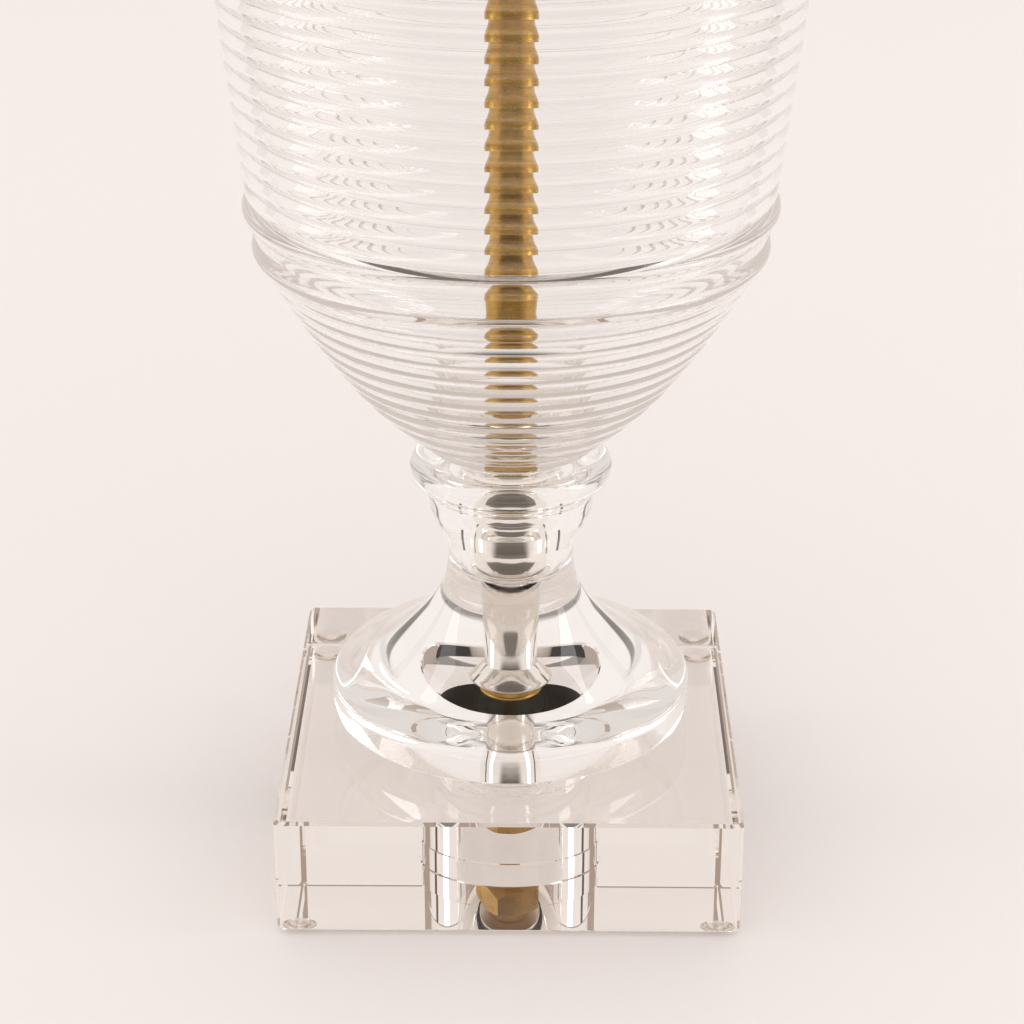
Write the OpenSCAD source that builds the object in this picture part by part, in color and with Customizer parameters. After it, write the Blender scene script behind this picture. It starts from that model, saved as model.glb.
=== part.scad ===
// Urn table lamp: a ribbed glass urn on a glass pedestal and block, with socket, harp and shade.
// Millimetres. Z is up, the lamp's axis is Z, the pads stand on z = 0 and the front faces -Y.

/* [Glass block] */
// Side of the square glass block
block_w = 152; // [130:1:190]
// Height of the glass block
block_h = 41.6; // [38:0.1:55]
// Chamfer along the block's edges
block_chamfer = 1; // [0.4:0.1:2]
// Diameter of the bore that opens in the block's underside
block_bore_d = 60.8; // [52:0.1:70]
// Depth of that bore
block_bore_depth = 31; // [29:0.1:34]
// Diameter of the bore's slightly wider mouth
block_mouth_d = 61.6; // [61.4:0.1:74]
// Depth of the mouth
block_mouth_depth = 8.5; // [4:0.1:14]
// Diameter of the hole for the pipe through the block's roof
block_hole_d = 12; // [11:0.1:14]
// Diameter of a clear bumper pad
pad_d = 11.5; // [8:0.1:14]
// Height of a clear bumper pad
pad_h = 2; // [1.5:0.1:4]
// Distance of a pad's centre from the block's edges
pad_inset = 7; // [6:0.1:12]

/* [Glass pedestal] */
// Diameter of the pedestal's foot
foot_d = 123; // [110:1:140]
// Height of the small boss that lifts the foot off the block
boss_h = 6; // [4:0.1:8]
// Diameter of that boss
boss_d = 46.4; // [40:0.1:60]
// Height of the foot's upright rim
foot_rim_h = 8; // [5:0.1:10]
// Radius of the foot's rounded shoulder
foot_shoulder_r = 4.5; // [3:0.1:6]
// Height of the foot's top, where the stem springs from it
foot_h = 17.6; // [16:0.1:20]
// Diameter of the stem at its waist
stem_d = 42.2; // [38:0.1:50]
// Height of the waist above the foot's underside
waist_h = 56; // [50:0.5:62]
// Diameter of the small bead under the knop
bead_d = 54.8; // [48:0.1:60]
// Height of the small bead above the foot's underside
bead_h = 75; // [71:0.5:78]
// Diameter of the knop that cups the urn
knop_d = 67.2; // [60:0.1:80]
// Height of the pedestal from the foot's underside to the knop's top
pedestal_h = 91.9; // [90:0.1:100]
// Depth of the cup in the knop
cup_depth = 4.5; // [3:0.1:6]
// Diameter of the wide bore in the upper pedestal
stem_bore_d = 27.6; // [26.4:0.1:31]
// Height above the foot's underside where the bore steps in to the narrow stem
bore_step_h = 49.4; // [47:0.1:52]

/* [Glass urn] */
// Height of the urn from its seat to its mouth
urn_h = 302; // [280:1:340]
// Largest diameter of the urn
urn_d = 190; // [180:1:220]
// Diameter of the heavy ring at the top of the bowl
ring_d = 170.8; // [160:0.2:178]
// Height of the heavy ring above the urn's seat
ring_h = 91; // [86:0.5:96]
// Diameter of the urn's seat
seat_d = 34; // [32:0.1:38]
// Outer diameter of the urn's neck
mouth_d = 60; // [54:0.5:70]
// Height of the urn's straight neck
mouth_h = 12; // [10:0.5:16]
// Thickness of the urn's wall
urn_wall = 3; // [2:0.1:4]
// Spacing of the ribs
rib_pitch = 6.4; // [5.6:0.1:9]
// Height of a rib
rib_h = 1.3; // [0.6:0.1:1.6]

/* [Stem fittings] */
// Diameter of the threaded pipe that clamps the lamp together
pipe_d = 10.3; // [9:0.1:12]
// Bore of the pipe
pipe_bore_d = 7.4; // [5:0.1:8]
// Height of the pipe's lower end above the block's underside
pipe_start = 8; // [4:0.5:10]
// Diameter of the brass tube in the urn
tube_d = 16.4; // [15:0.1:17]
// Wall of the brass tube
tube_wall = 1.2; // [0.8:0.1:2]
// Diameter of the nickel sleeve in the pedestal
sleeve_d = 23.4; // [22:0.1:26]
// Diameter of the narrow nickel stem below the sleeve
foot_stem_d = 12.7; // [12:0.1:16]
// Diameter of the flange at that stem's foot
foot_flange_d = 20.8; // [19:0.1:24]
// Diameter of the brass collar that the flange stands on
collar_d = 15.6; // [15:0.1:18]
// Height of the brass collar
collar_h = 5; // [3:0.1:7]
// Diameter of the black gasket under the block's roof
gasket_d = 38.4; // [34:0.1:44]
// Thickness of the black gasket
gasket_t = 1.8; // [1:0.1:3]
// Diameter of the steel washer under the gasket
washer_d = 35; // [30:0.1:40]
// Thickness of the steel washer
washer_t = 1.6; // [1:0.1:2]
// Diameter of the spacer above the nut
spacer_d = 23.6; // [18:0.1:28]
// Height of the spacer
spacer_h = 6.3; // [4:0.1:8]
// Width of the hexagonal nut across its flats
nut_af = 33.8; // [28:0.1:40]
// Height of the hexagonal nut
nut_h = 9.3; // [7:0.1:10]
// Thickness of the soft rings under and over the urn
seal_t = 1; // [0.5:0.1:2]

/* [Cap and neck] */
// Diameter of the brass cap over the urn's mouth
cap_d = 68; // [66:0.5:80]
// Height of the cap above the urn's mouth
cap_h = 13; // [10:0.5:18]
// Depth of the cap's skirt below the urn's mouth
cap_skirt_h = 9; // [5:0.5:10]
// Diameter of the ball in the neck
neck_ball_d = 21; // [19:0.5:24]
// Height of the neck
neck_h = 22; // [21:0.5:28]
// Diameter of the cord outlet's bore
cord_bore_d = 6.4; // [5:0.1:7]

/* [Socket] */
// Diameter of the socket's shell
socket_d = 40; // [38:0.2:42]
// Height of the socket from its hub to its rim
socket_h = 62; // [58:0.5:68]
// Diameter of the lamp bulb
bulb_d = 60; // [45:0.5:62]
// Height of the bulb's glass above the socket
bulb_h = 86; // [80:1:95]
// Diameter of the switch knob
knob_d = 13; // [10:0.1:16]
// Length of the switch knob
knob_l = 16; // [12:0.5:20]

/* [Harp] */
// Distance between the harp's feet
harp_foot_span = 56; // [54:0.5:64]
// Widest distance between the harp's sides
harp_span = 132; // [120:1:150]
// Height of the harp from the saddle's posts to its stud
harp_h = 229; // [220:1:250]
// Diameter of the harp's wire
harp_wire_d = 3.8; // [3:0.1:4.2]
// Travel of a harp sleeve up its leg
harp_sleeve_lift = 14; // [12:0.5:16]
// Diameter of the stud that carries the shade
stud_d = 6.2; // [5:0.1:7]

/* [Shade] */
// Diameter of the shade's bottom edge
shade_bottom_d = 406; // [380:1:460]
// Diameter of the shade's top edge
shade_top_d = 330; // [300:1:380]
// Height of the shade
shade_h = 254; // [230:1:270]
// Thickness of the shade's lined fabric
shade_t = 1; // [0.6:0.1:1.5]
// Diameter of the shade's ring wires
ring_wire_d = 3.2; // [2.4:0.1:4]
// Depth of the spider's hub below the shade's top edge
spider_drop = 11.5; // [10:0.1:20]
// Height of the finial
finial_h = 36; // [28:0.5:50]
// Diameter of the finial's ball
finial_d = 19; // [14:0.2:24]

/* [Hidden] */

round_fn = 96;
// Gap between pieces that are screwed or pushed together
fit = 0.05;
// Gap between pieces that only lie near each other
gap = 0.3;

// Levels of the lower lamp, from the table up
block_top = pad_h + block_h;
roof_z = pad_h + block_bore_depth;
foot_z = block_top + boss_h;
pedestal_top = foot_z + pedestal_h;
cup_z = pedestal_top - cup_depth;
urn_z = cup_z + seal_t;
urn_top = urn_z + urn_h;
sleeve_top = cup_z + seal_t / 2;
collar_top = block_top + collar_h;
step_z = foot_z + bore_step_h;
foot_flange_t = 1.8;
foot_cone_top = collar_top + 8.9;
// Clear glue between the stem's foot and the glass
glue_t = 0.2;
gasket_z = roof_z - gasket_t;
washer_z = gasket_z - washer_t;
spacer_z = washer_z - spacer_h;
nut_z = spacer_z - nut_h;

// Levels of the fittings above the urn
cap_z = urn_top + seal_t;
cap_top = cap_z + cap_h;
neck_top = cap_top + neck_h;
neck_ball_z = cap_top + neck_h / 2;
bushing_wall = 1.2;
saddle_t = 2.2;
lock_nut_h = 4;
hub_z = neck_top + saddle_t + lock_nut_h;
hub_h = 6;
pipe_top = hub_z + hub_h;
socket_top = hub_z + socket_h;
shell_rise = 18;
shell_z = hub_z + shell_rise;
socket_wall = 0.6;
socket_floor_t = 1.2;
core_z = hub_z + hub_h + socket_floor_t;
core_rise = 38;
core_top = hub_z + core_rise;
switch_rise = 28;
switch_z = hub_z + switch_rise;
contact_h = 3;
bulb_seat_z = core_top + contact_h;
bulb_base_d = 26.6;
bulb_base_h = 25.5;
bulb_neck_d = 25.6;

// The harp's feet, legs and bow
post_d = 4.8;
post_l = 10;
post_rise = 8;
post_z = neck_top + post_rise;
foot_wall = 1;
foot_bore_d = post_d + 2 * fit;
foot_outer_d = foot_bore_d + 2 * foot_wall;
foot_len = 16;
harp_sleeve_wall = 1.3;
harp_sleeve_h = 14;
bend_angle = 60;
bend_r = (harp_span - harp_foot_span) / 4 / (1 - cos(bend_angle));
bend_z = post_z + harp_sleeve_h + harp_sleeve_lift + 2;
side_z = bend_z + 2 * bend_r * sin(bend_angle);
bow_r = harp_span / 2;
bow_z = post_z + harp_h - bow_r - harp_wire_d / 2;
stud_seat_d = 14;
stud_seat_h = 4;
stud_seat_z = bow_z + bow_r - stud_seat_h / 2;
hub_seat_z = stud_seat_z + stud_seat_h;
stud_l = 13;
// Where lengths of bent wire meet, they stop short by the trim inside a slightly larger ball
joint_trim = 0.05;
joint_extra = 0.06;

// The shade and what holds it
spider_hub_d = 20;
spider_hub_t = 2;
finial_foot_r = 7;
finial_z = hub_seat_z + spider_hub_t;
shade_top_z = hub_seat_z + spider_drop;
shade_z = shade_top_z - shade_h;
shade_slope = (shade_bottom_d - shade_top_d) / 2 / shade_h;
top_ring_z = shade_top_z - ring_wire_d / 2 - 0.4;
bottom_ring_z = shade_z + ring_wire_d / 2 + 0.4;

// Points on an arc, from angle a to angle b
function arc(cx, cy, r, a, b, n) = [for (i = [0:n]) let (t = a + (b - a) * i / n) [cx + r * cos(t), cy + r * sin(t)]];
// Points on a cubic curve, without its first point
function bezier(p, q, r, s, n) = [for (i = [1:n]) let (t = i / n, u = 1 - t)
    u * u * u * p + 3 * u * u * t * q + 3 * u * t * t * r + t * t * t * s];
// Inner radius of the shade's skin at height z
function shade_inner_r(z) = shade_bottom_d / 2 - (z - shade_z) * shade_slope - shade_t;

module tube(d, bore, h) {
    difference() {
        cylinder(d = d, h = h, $fn = round_fn);
        translate([0, 0, -1]) cylinder(d = bore, h = h + 2, $fn = round_fn);
    }
}

// The hole that the lamp pipe passes through
module pipe_hole(h) {
    cylinder(d = pipe_d + 2 * fit, h = h, $fn = round_fn);
}

// A bar with chamfered edges seen along its length
module chamfered_square(w, h, c) {
    polygon([[-w / 2 + c, -h / 2], [w / 2 - c, -h / 2], [w / 2, -h / 2 + c], [w / 2, h / 2 - c],
             [w / 2 - c, h / 2], [-w / 2 + c, h / 2], [-w / 2, h / 2 - c], [-w / 2, -h / 2 + c]]);
}

module chamfered_block(w, h, c) {
    intersection() {
        translate([0, 0, -h / 2]) linear_extrude(h) chamfered_square(w, w, c);
        rotate([90, 0, 0]) translate([0, 0, -w / 2]) linear_extrude(w) chamfered_square(w, h, c);
        rotate([0, 90, 0]) translate([0, 0, -w / 2]) linear_extrude(w) chamfered_square(h, w, c);
    }
}

// The glass block and its pads

module base_block() {
    color([0.9, 0.92, 0.92, 0.4])
    difference() {
        translate([0, 0, pad_h + block_h / 2]) chamfered_block(block_w, block_h, block_chamfer);
        translate([0, 0, pad_h - 1]) cylinder(d = block_mouth_d, h = block_mouth_depth + 1, $fn = round_fn);
        translate([0, 0, pad_h]) cylinder(d = block_bore_d, h = block_bore_depth, $fn = round_fn);
        translate([0, 0, pad_h]) cylinder(d = block_hole_d, h = block_h + 1, $fn = round_fn);
    }
}

// A low dome, flat against the block and flattened a little where it stands
module pad(side_x, side_y) {
    stand_r = 2;
    r = pad_d / 2;
    centre_z = (r * r - stand_r * stand_r + pad_h * pad_h) / (2 * pad_h);
    dome_r = norm([stand_r, centre_z]);
    reach = block_w / 2 - pad_inset;
    low_a = -90 + atan(stand_r / centre_z);
    high_a = -90 + atan(r / (centre_z - pad_h));
    color([0.9, 0.92, 0.92, 0.5])
    translate([side_x * reach, side_y * reach, 0])
        rotate_extrude($fn = 48)
            polygon(concat([[0, pad_h], [0, 0]], arc(0, centre_z, dome_r, low_a, high_a, 6)));
}

module pad_front_left() { pad(-1, -1); }
module pad_front_right() { pad(1, -1); }
module pad_back_left() { pad(-1, 1); }
module pad_back_right() { pad(1, 1); }

// The pedestal: boss, foot, stem, bead, knop and the cup that holds the urn

module pedestal() {
    foot_r = foot_d / 2;
    rim_top = foot_z + foot_rim_h;
    shoulder = arc(foot_r - foot_shoulder_r, rim_top, foot_shoulder_r, 0, 60, 6);
    shoulder_end = shoulder[len(shoulder) - 1];
    foot_top = [foot_r - 14.5, foot_z + foot_h];
    stem_r = stem_d / 2;
    flare_end = [stem_r + 1.1, foot_z + waist_h - 10];
    waist = [stem_r, foot_z + waist_h];
    bead = [bead_d / 2, foot_z + bead_h];
    bead_end = [bead_d / 2 + 0.8, foot_z + bead_h + 5];
    knop_r = knop_d / 2;
    knop_lip = 4;
    knop_z = pedestal_top - knop_lip;
    cup_r = seat_d / 2 + 2;
    flange_hole_r = foot_flange_d / 2 + glue_t;
    stem_hole_r = foot_stem_d / 2 + glue_t;
    color([0.92, 0.93, 0.93, 0.4])
    rotate_extrude($fn = round_fn)
        polygon(concat(
            [[flange_hole_r, block_top], [boss_d / 2, block_top], [boss_d / 2, foot_z],
             [foot_r - 0.6, foot_z], [foot_r, foot_z + 0.6]],
            shoulder,
            bezier(shoulder_end, shoulder_end + [-4.5, 2.6], foot_top + [3, -2.4], foot_top, 5),
            bezier(foot_top, foot_top + [-9, 7.3], flare_end + [2.3, -12], flare_end, 10),
            bezier(flare_end, flare_end + [-0.6, 3], waist + [0, -4], waist, 4),
            bezier(waist, waist + [0, 8], bead + [-0.2, -5.5], bead, 7),
            bezier(bead, bead + [0.2, 2.5], bead_end + [-1, -1.5], bead_end, 4),
            bezier(bead_end, bead_end + [1.4, 2.5], [knop_r - 0.2, knop_z - 5], [knop_r, knop_z], 6),
            arc(knop_r - knop_lip, knop_z, knop_lip, 15, 90, 6),
            bezier([knop_r - knop_lip, pedestal_top], [knop_r - knop_lip - 3, pedestal_top],
                   [cup_r + 3, cup_z + 1.2], [cup_r, cup_z], 5),
            [[stem_bore_d / 2, cup_z], [stem_bore_d / 2, step_z], [stem_hole_r, step_z],
             [stem_hole_r, foot_cone_top + glue_t],
             [flange_hole_r, collar_top + foot_flange_t + glue_t]]));
}

// The urn: a bowl, two heavy rings, a ribbed wall, a shoulder and a neck

// Value at t on a cubic with the end and control values a, b, c and d
function cubic(t, a, b, c, d) = let (u = 1 - t)
    u * u * u * a + 3 * u * u * t * b + 3 * u * t * t * c + t * t * t * d;
// Crest line of the bowl, as [radius, height above the seat] for t from 0 to 1
function bowl_point(t) = [
    cubic(t, seat_d / 2, seat_d / 2 + 36.5, ring_d / 2 - 19.7, ring_d / 2 - 4.6), t * bowl_h];
// Crest line of the wall above the rings
function wall_point(t) = [
    cubic(t, ring_d / 2 - 1.2, ring_d / 2 + 3.7, urn_d / 2 - 0.5, urn_d / 2), wall_start + t * wall_h];
// Crest line of the shoulder, a quarter of an ellipse
function shoulder_point(t) = [
    neck_foot_r + (urn_d / 2 - neck_foot_r) * cos(90 * t), shoulder_start + shoulder_h * sin(90 * t)];
function crest(kind, t) = kind == 0 ? bowl_point(t) : kind == 1 ? wall_point(t) : shoulder_point(t);
// The point at a depth under a crest line, square to it
function under_crest(kind, t, depth) = let (d = 0.001,
    along = t > 0.5 ? crest(kind, t) - crest(kind, t - d) : crest(kind, t + d) - crest(kind, t))
    crest(kind, t) + [-along[1], along[0]] * depth / norm(along);
// Rounded ribs with sharp grooves between them along a crest line
function ribbed(kind, ribs, first, last) = [for (i = [first:last])
    let (t = i / (ribs * rib_steps), groove = 1 - sin(180 * (i % rib_steps) / rib_steps),
         fade = kind == 0 ? min(1, 0.25 + 1.6 * t) : 1)
    under_crest(kind, t, groove * rib_h * fade)];

rib_steps = 4;
bowl_h = ring_h - 16;
bowl_ribs = round(bowl_h / (rib_pitch * 0.93));
low_ring_h = ring_h - 12.5;
ring_lip = 3;
wall_start = ring_h + 4.2;
wall_ribs = round((urn_h - 82 - wall_start) / rib_pitch);
wall_h = wall_ribs * rib_pitch;
shoulder_start = wall_start + wall_h;
neck_foot_r = mouth_d / 2 + 4;
shoulder_h = urn_h - mouth_h - 3 - shoulder_start;
shoulder_ribs = round(PI / 4 * (urn_d / 2 - neck_foot_r + shoulder_h) / rib_pitch);

module urn() {
    rim_r = mouth_d / 2;
    ring_r = ring_d / 2;
    hole_r = tube_d / 2 + 0.8;
    depth = urn_wall + rib_h / 2;
    outer = concat(
        ribbed(0, bowl_ribs, 1, bowl_ribs * rib_steps - 1),
        arc(ring_r - 2.6 - ring_lip, low_ring_h, ring_lip, -65, 65, 6),
        [[ring_r - 3.4, low_ring_h + 5], [ring_r - 3, ring_h - 4]],
        arc(ring_r - ring_lip, ring_h + 0.6, ring_lip, -65, 60, 6),
        ribbed(1, wall_ribs, 0, wall_ribs * rib_steps),
        ribbed(2, shoulder_ribs, 1, shoulder_ribs * rib_steps - 1),
        [[rim_r + 1, shoulder_start + shoulder_h + 1], [rim_r, urn_h - mouth_h],
         [rim_r, urn_h - 1], [rim_r - 1, urn_h]]);
    inner = concat(
        [[rim_r - urn_wall - 1, urn_h], [rim_r - urn_wall, urn_h - 1],
         [rim_r - urn_wall, urn_h - mouth_h - 4]],
        [for (i = [15:-1:0]) under_crest(2, i / 16, depth)],
        [for (i = [15:-1:0]) under_crest(1, i / 16, depth)],
        [for (i = [16:-1:2]) under_crest(0, i / 16, depth)]);
    color([0.92, 0.94, 0.94, 0.3])
    translate([0, 0, urn_z])
        rotate_extrude($fn = round_fn)
            polygon(concat([[hole_r, 0], [seat_d / 2 - 1, 0], [seat_d / 2, 0.6]], outer, inner,
                           [[hole_r, urn_wall + rib_h]]));
}

module urn_seal() {
    color([0.85, 0.86, 0.85])
    translate([0, 0, cup_z]) tube(seat_d + 1, stem_bore_d + 0.6, seal_t);
}

// The fittings on the pipe

// The wide nickel sleeve: a turned bar with a groove and a rounded top, on the step in the bore
module stem_sleeve() {
    r = sleeve_d / 2;
    groove = 0.8;
    groove_z = sleeve_top - 17;
    end_round = 2;
    color([0.78, 0.77, 0.75])
    difference() {
        rotate_extrude($fn = round_fn)
            polygon(concat(
                [[0, step_z], [r - end_round, step_z], [r - 0.6, step_z + 0.6], [r, step_z + end_round],
                 [r, groove_z - 2.4], [r - groove, groove_z - 1.2], [r - groove, groove_z],
                 [r, groove_z + 1.2], [r, sleeve_top - 6]],
                arc(r - 4, sleeve_top - 4, 4, 10, 90, 6),
                [[0, sleeve_top]]));
        translate([0, 0, step_z - 1]) pipe_hole(sleeve_top - step_z + 2);
    }
}

// The narrow nickel stem and its flared flange, glued into the pedestal's foot
module stem_foot() {
    stem_r = foot_stem_d / 2;
    flange_r = foot_flange_d / 2;
    color([0.78, 0.77, 0.75])
    difference() {
        rotate_extrude($fn = round_fn)
            polygon([[0, collar_top], [flange_r - 0.8, collar_top], [flange_r, collar_top + 0.8],
                     [flange_r, collar_top + foot_flange_t], [stem_r, foot_cone_top],
                     [stem_r, step_z], [0, step_z]]);
        translate([0, 0, collar_top - 1]) pipe_hole(step_z - collar_top + 2);
    }
}

// A plain collar between the flange and the block's glass
module foot_collar() {
    color([0.71, 0.53, 0.27])
    difference() {
        translate([0, 0, block_top]) cylinder(d = collar_d, h = collar_h, $fn = round_fn);
        translate([0, 0, block_top - 1]) pipe_hole(collar_h + 2);
    }
}

module lamp_pipe() {
    color([0.72, 0.6, 0.38])
    difference() {
        translate([0, 0, pad_h + pipe_start]) tube(pipe_d, pipe_bore_d, pipe_top - pad_h - pipe_start);
        translate([0, 0, neck_ball_z]) rotate([-90, 0, 0]) cylinder(d = cord_bore_d, h = pipe_d, $fn = 48);
    }
}

module center_tube() {
    color([0.66, 0.47, 0.2])
    translate([0, 0, sleeve_top]) tube(tube_d, tube_d - 2 * tube_wall, cap_z - sleeve_top);
}

module base_gasket() {
    color([0.08, 0.08, 0.08])
    translate([0, 0, gasket_z]) tube(gasket_d, pipe_d + 2 * fit, gasket_t);
}

module base_washer() {
    color([0.7, 0.7, 0.7])
    translate([0, 0, washer_z]) tube(washer_d, pipe_d + 2 * fit, washer_t);
}

module base_spacer() {
    color([0.71, 0.53, 0.27])
    translate([0, 0, spacer_z]) tube(spacer_d, pipe_d + 2 * fit, spacer_h);
}

// A hexagon with its corners turned down at both ends
module hex_nut(af, h, bore) {
    corner_r = af / 2 / cos(30);
    turn = corner_r - af / 2;
    difference() {
        intersection() {
            cylinder(r = corner_r, h = h, $fn = 6);
            rotate_extrude($fn = round_fn)
                polygon([[0, 0], [af / 2, 0], [corner_r, turn * 0.6],
                         [corner_r, h - turn * 0.6], [af / 2, h], [0, h]]);
        }
        translate([0, 0, -1]) cylinder(d = bore, h = h + 2, $fn = round_fn);
    }
}

module base_nut() {
    color([0.71, 0.53, 0.27])
    translate([0, 0, nut_z]) rotate([0, 0, 15]) hex_nut(nut_af, nut_h, pipe_d + 2 * fit);
}

// The cap over the urn's mouth and the neck above it

module cap_gasket() {
    color([0.12, 0.12, 0.12])
    translate([0, 0, urn_top]) tube(mouth_d + 1, mouth_d - 2 * urn_wall - 2, seal_t);
}

module urn_cap() {
    cap_r = cap_d / 2;
    skirt_in = mouth_d / 2 + 1.2;
    rim_h = 3;
    throat_r = 13;
    color([0.71, 0.53, 0.27])
    difference() {
        rotate_extrude($fn = round_fn)
            polygon(concat(
                [[0, cap_z], [skirt_in, cap_z], [skirt_in, urn_top - cap_skirt_h],
                 [cap_r - 1, urn_top - cap_skirt_h], [cap_r, urn_top - cap_skirt_h + 1], [cap_r, cap_z + rim_h]],
                bezier([cap_r, cap_z + rim_h], [cap_r - 4, cap_z + rim_h + 4],
                       [throat_r + 6, cap_top - 6], [throat_r, cap_top], 8),
                [[0, cap_top]]));
        translate([0, 0, cap_z - 1]) pipe_hole(cap_h + 2);
    }
}

module neck() {
    ball_r = neck_ball_d / 2;
    collar_r = ball_r + 2.5;
    collar_t = 2;
    throat_a = 52;
    color([0.71, 0.53, 0.27])
    difference() {
        rotate_extrude($fn = round_fn)
            polygon(concat(
                [[0, cap_top], [collar_r - 0.5, cap_top],
                 [collar_r, cap_top + 0.5], [collar_r, cap_top + collar_t],
                 [ball_r * cos(throat_a) + 0.4, cap_top + collar_t + 0.3]],
                arc(0, neck_ball_z, ball_r, -throat_a, throat_a, 11),
                [[collar_r - 1, neck_top - collar_t], [collar_r - 1, neck_top], [0, neck_top]]));
        translate([0, 0, cap_top - 1]) pipe_hole(neck_h + 2);
        translate([0, 0, neck_ball_z]) rotate([-90, 0, 0])
            cylinder(d = cord_bore_d + 2 * bushing_wall, h = ball_r + 1, $fn = 48);
    }
}

// The bushing that the cord would leave by, at the back of the neck
module cord_bushing() {
    start_y = pipe_d / 2 + 0.6;
    end_y = neck_ball_d / 2 + 2.2;
    flange_t = 1.6;
    color([0.12, 0.12, 0.12])
    translate([0, 0, neck_ball_z]) rotate([-90, 0, 0])
        difference() {
            union() {
                translate([0, 0, start_y])
                    cylinder(d = cord_bore_d + 2 * bushing_wall - 2 * fit, h = end_y - start_y, $fn = 48);
                translate([0, 0, end_y - flange_t]) cylinder(d = cord_bore_d + 5.2, h = flange_t, $fn = 48);
            }
            translate([0, 0, start_y - 1]) cylinder(d = cord_bore_d, h = end_y - start_y + 2, $fn = 48);
        }
}

// The strap between neck and lock nut, with a post for each harp foot
module harp_saddle() {
    foot_x = harp_foot_span / 2;
    strap_w = 12;
    arm_t = 3;
    seat_t = 2;
    arm_top = post_z - seat_t / 2;
    flat_x = foot_x - 4;
    color([0.71, 0.53, 0.27])
    difference() {
        union() {
            rotate([90, 0, 0]) translate([0, 0, -strap_w / 2]) linear_extrude(strap_w)
                polygon([[-flat_x, neck_top], [flat_x, neck_top], [foot_x + arm_t / 2, neck_top + 3.5],
                         [foot_x + arm_t / 2, arm_top], [foot_x - arm_t / 2, arm_top],
                         [foot_x - arm_t / 2, neck_top + 4.3], [flat_x - 0.6, neck_top + saddle_t],
                         [-flat_x + 0.6, neck_top + saddle_t], [-foot_x + arm_t / 2, neck_top + 4.3],
                         [-foot_x + arm_t / 2, arm_top], [-foot_x - arm_t / 2, arm_top],
                         [-foot_x - arm_t / 2, neck_top + 3.5]]);
            for (side = [-1, 1]) translate([side * foot_x, 0, post_z - seat_t]) {
                cylinder(d = foot_outer_d + 2 * harp_sleeve_wall, h = seat_t, $fn = 48);
                cylinder(d = post_d, h = seat_t + post_l, $fn = 48);
            }
        }
        translate([0, 0, neck_top - 1]) pipe_hole(saddle_t + 2);
        for (side = [-1, 1], face = [-1, 1])
            translate([side * foot_x, face * strap_w / 2, neck_top + 6]) rotate([0, 90, 0])
                cylinder(d = 5, h = 12, center = true, $fn = 32);
    }
}

module lock_nut() {
    color([0.71, 0.53, 0.27])
    translate([0, 0, neck_top + saddle_t]) hex_nut(16, lock_nut_h, pipe_d + 2 * fit);
}

// The socket, its turn switch and the bulb

module socket_cap() {
    r = socket_d / 2;
    color([0.71, 0.53, 0.27])
    difference() {
        rotate_extrude($fn = round_fn)
            polygon(concat(
                [[0, hub_z], [7.5, hub_z], [8, hub_z + 0.5], [8, hub_z + hub_h]],
                bezier([8, hub_z + hub_h], [14, hub_z + hub_h + 1], [r, hub_z + hub_h + 3], [r, shell_z], 8),
                [[r - socket_wall, shell_z]],
                bezier([r - socket_wall, shell_z], [r - 1, hub_z + hub_h + 4],
                       [13, hub_z + hub_h + 2], [7, core_z], 8),
                [[0, core_z]]));
        translate([0, 0, hub_z - 1]) pipe_hole(hub_h + 3);
    }
}

module socket_core() {
    r = socket_d / 2 - 3;
    color([0.1, 0.1, 0.1])
    difference() {
        union() {
            translate([0, 0, core_z]) cylinder(r = 6, h = 4, $fn = round_fn);
            translate([0, 0, core_z + 3]) cylinder(r = r - 3, h = shell_z - core_z - 2, $fn = round_fn);
            translate([0, 0, shell_z]) cylinder(r = r, h = core_top - shell_z, $fn = round_fn);
        }
        translate([0, 0, switch_z]) rotate([90, 0, 0]) cylinder(d = 4.4, h = r + 1, $fn = 48);
    }
}

// The paper liner, slotted for the switch
module socket_insulator() {
    r = socket_d / 2 - socket_wall - gap;
    color([0.75, 0.62, 0.45])
    difference() {
        translate([0, 0, shell_z + 0.5]) tube(2 * r, 2 * r - 1.2, socket_top - shell_z - 2);
        translate([0, 0, switch_z]) rotate([90, 0, 0]) cylinder(d = 7, h = socket_d, $fn = 48);
    }
}

module socket_shell() {
    r = socket_d / 2;
    bead_r = 1.1;
    color([0.71, 0.53, 0.27])
    difference() {
        union() {
            translate([0, 0, shell_z]) tube(socket_d, socket_d - 2 * socket_wall, socket_top - shell_z);
            for (z = [shell_z + 4, socket_top - 2]) translate([0, 0, z]) rotate_extrude($fn = round_fn)
                polygon(concat([[r - socket_wall, -bead_r]], arc(r - 0.2, 0, bead_r, -80, 80, 6),
                               [[r - socket_wall, bead_r]]));
        }
        translate([0, 0, switch_z]) rotate([90, 0, 0]) cylinder(d = 6, h = socket_d, $fn = 48);
    }
}

// The screw shell that takes the bulb, standing on the core
module screw_shell() {
    color([0.78, 0.76, 0.72])
    translate([0, 0, core_top]) tube(28.8, 27.6, socket_top - core_top - 1.5);
}

module center_contact() {
    color([0.71, 0.53, 0.27])
    translate([0, 0, core_top]) cylinder(d = 7, h = bulb_seat_z - core_top - 0.1, $fn = 48);
}

module switch_shaft() {
    inner_y = 8;
    color([0.71, 0.53, 0.27])
    translate([0, -inner_y, switch_z]) rotate([90, 0, 0])
        cylinder(d = 4.2, h = socket_d / 2 - inner_y + 8, $fn = 48);
}

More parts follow.
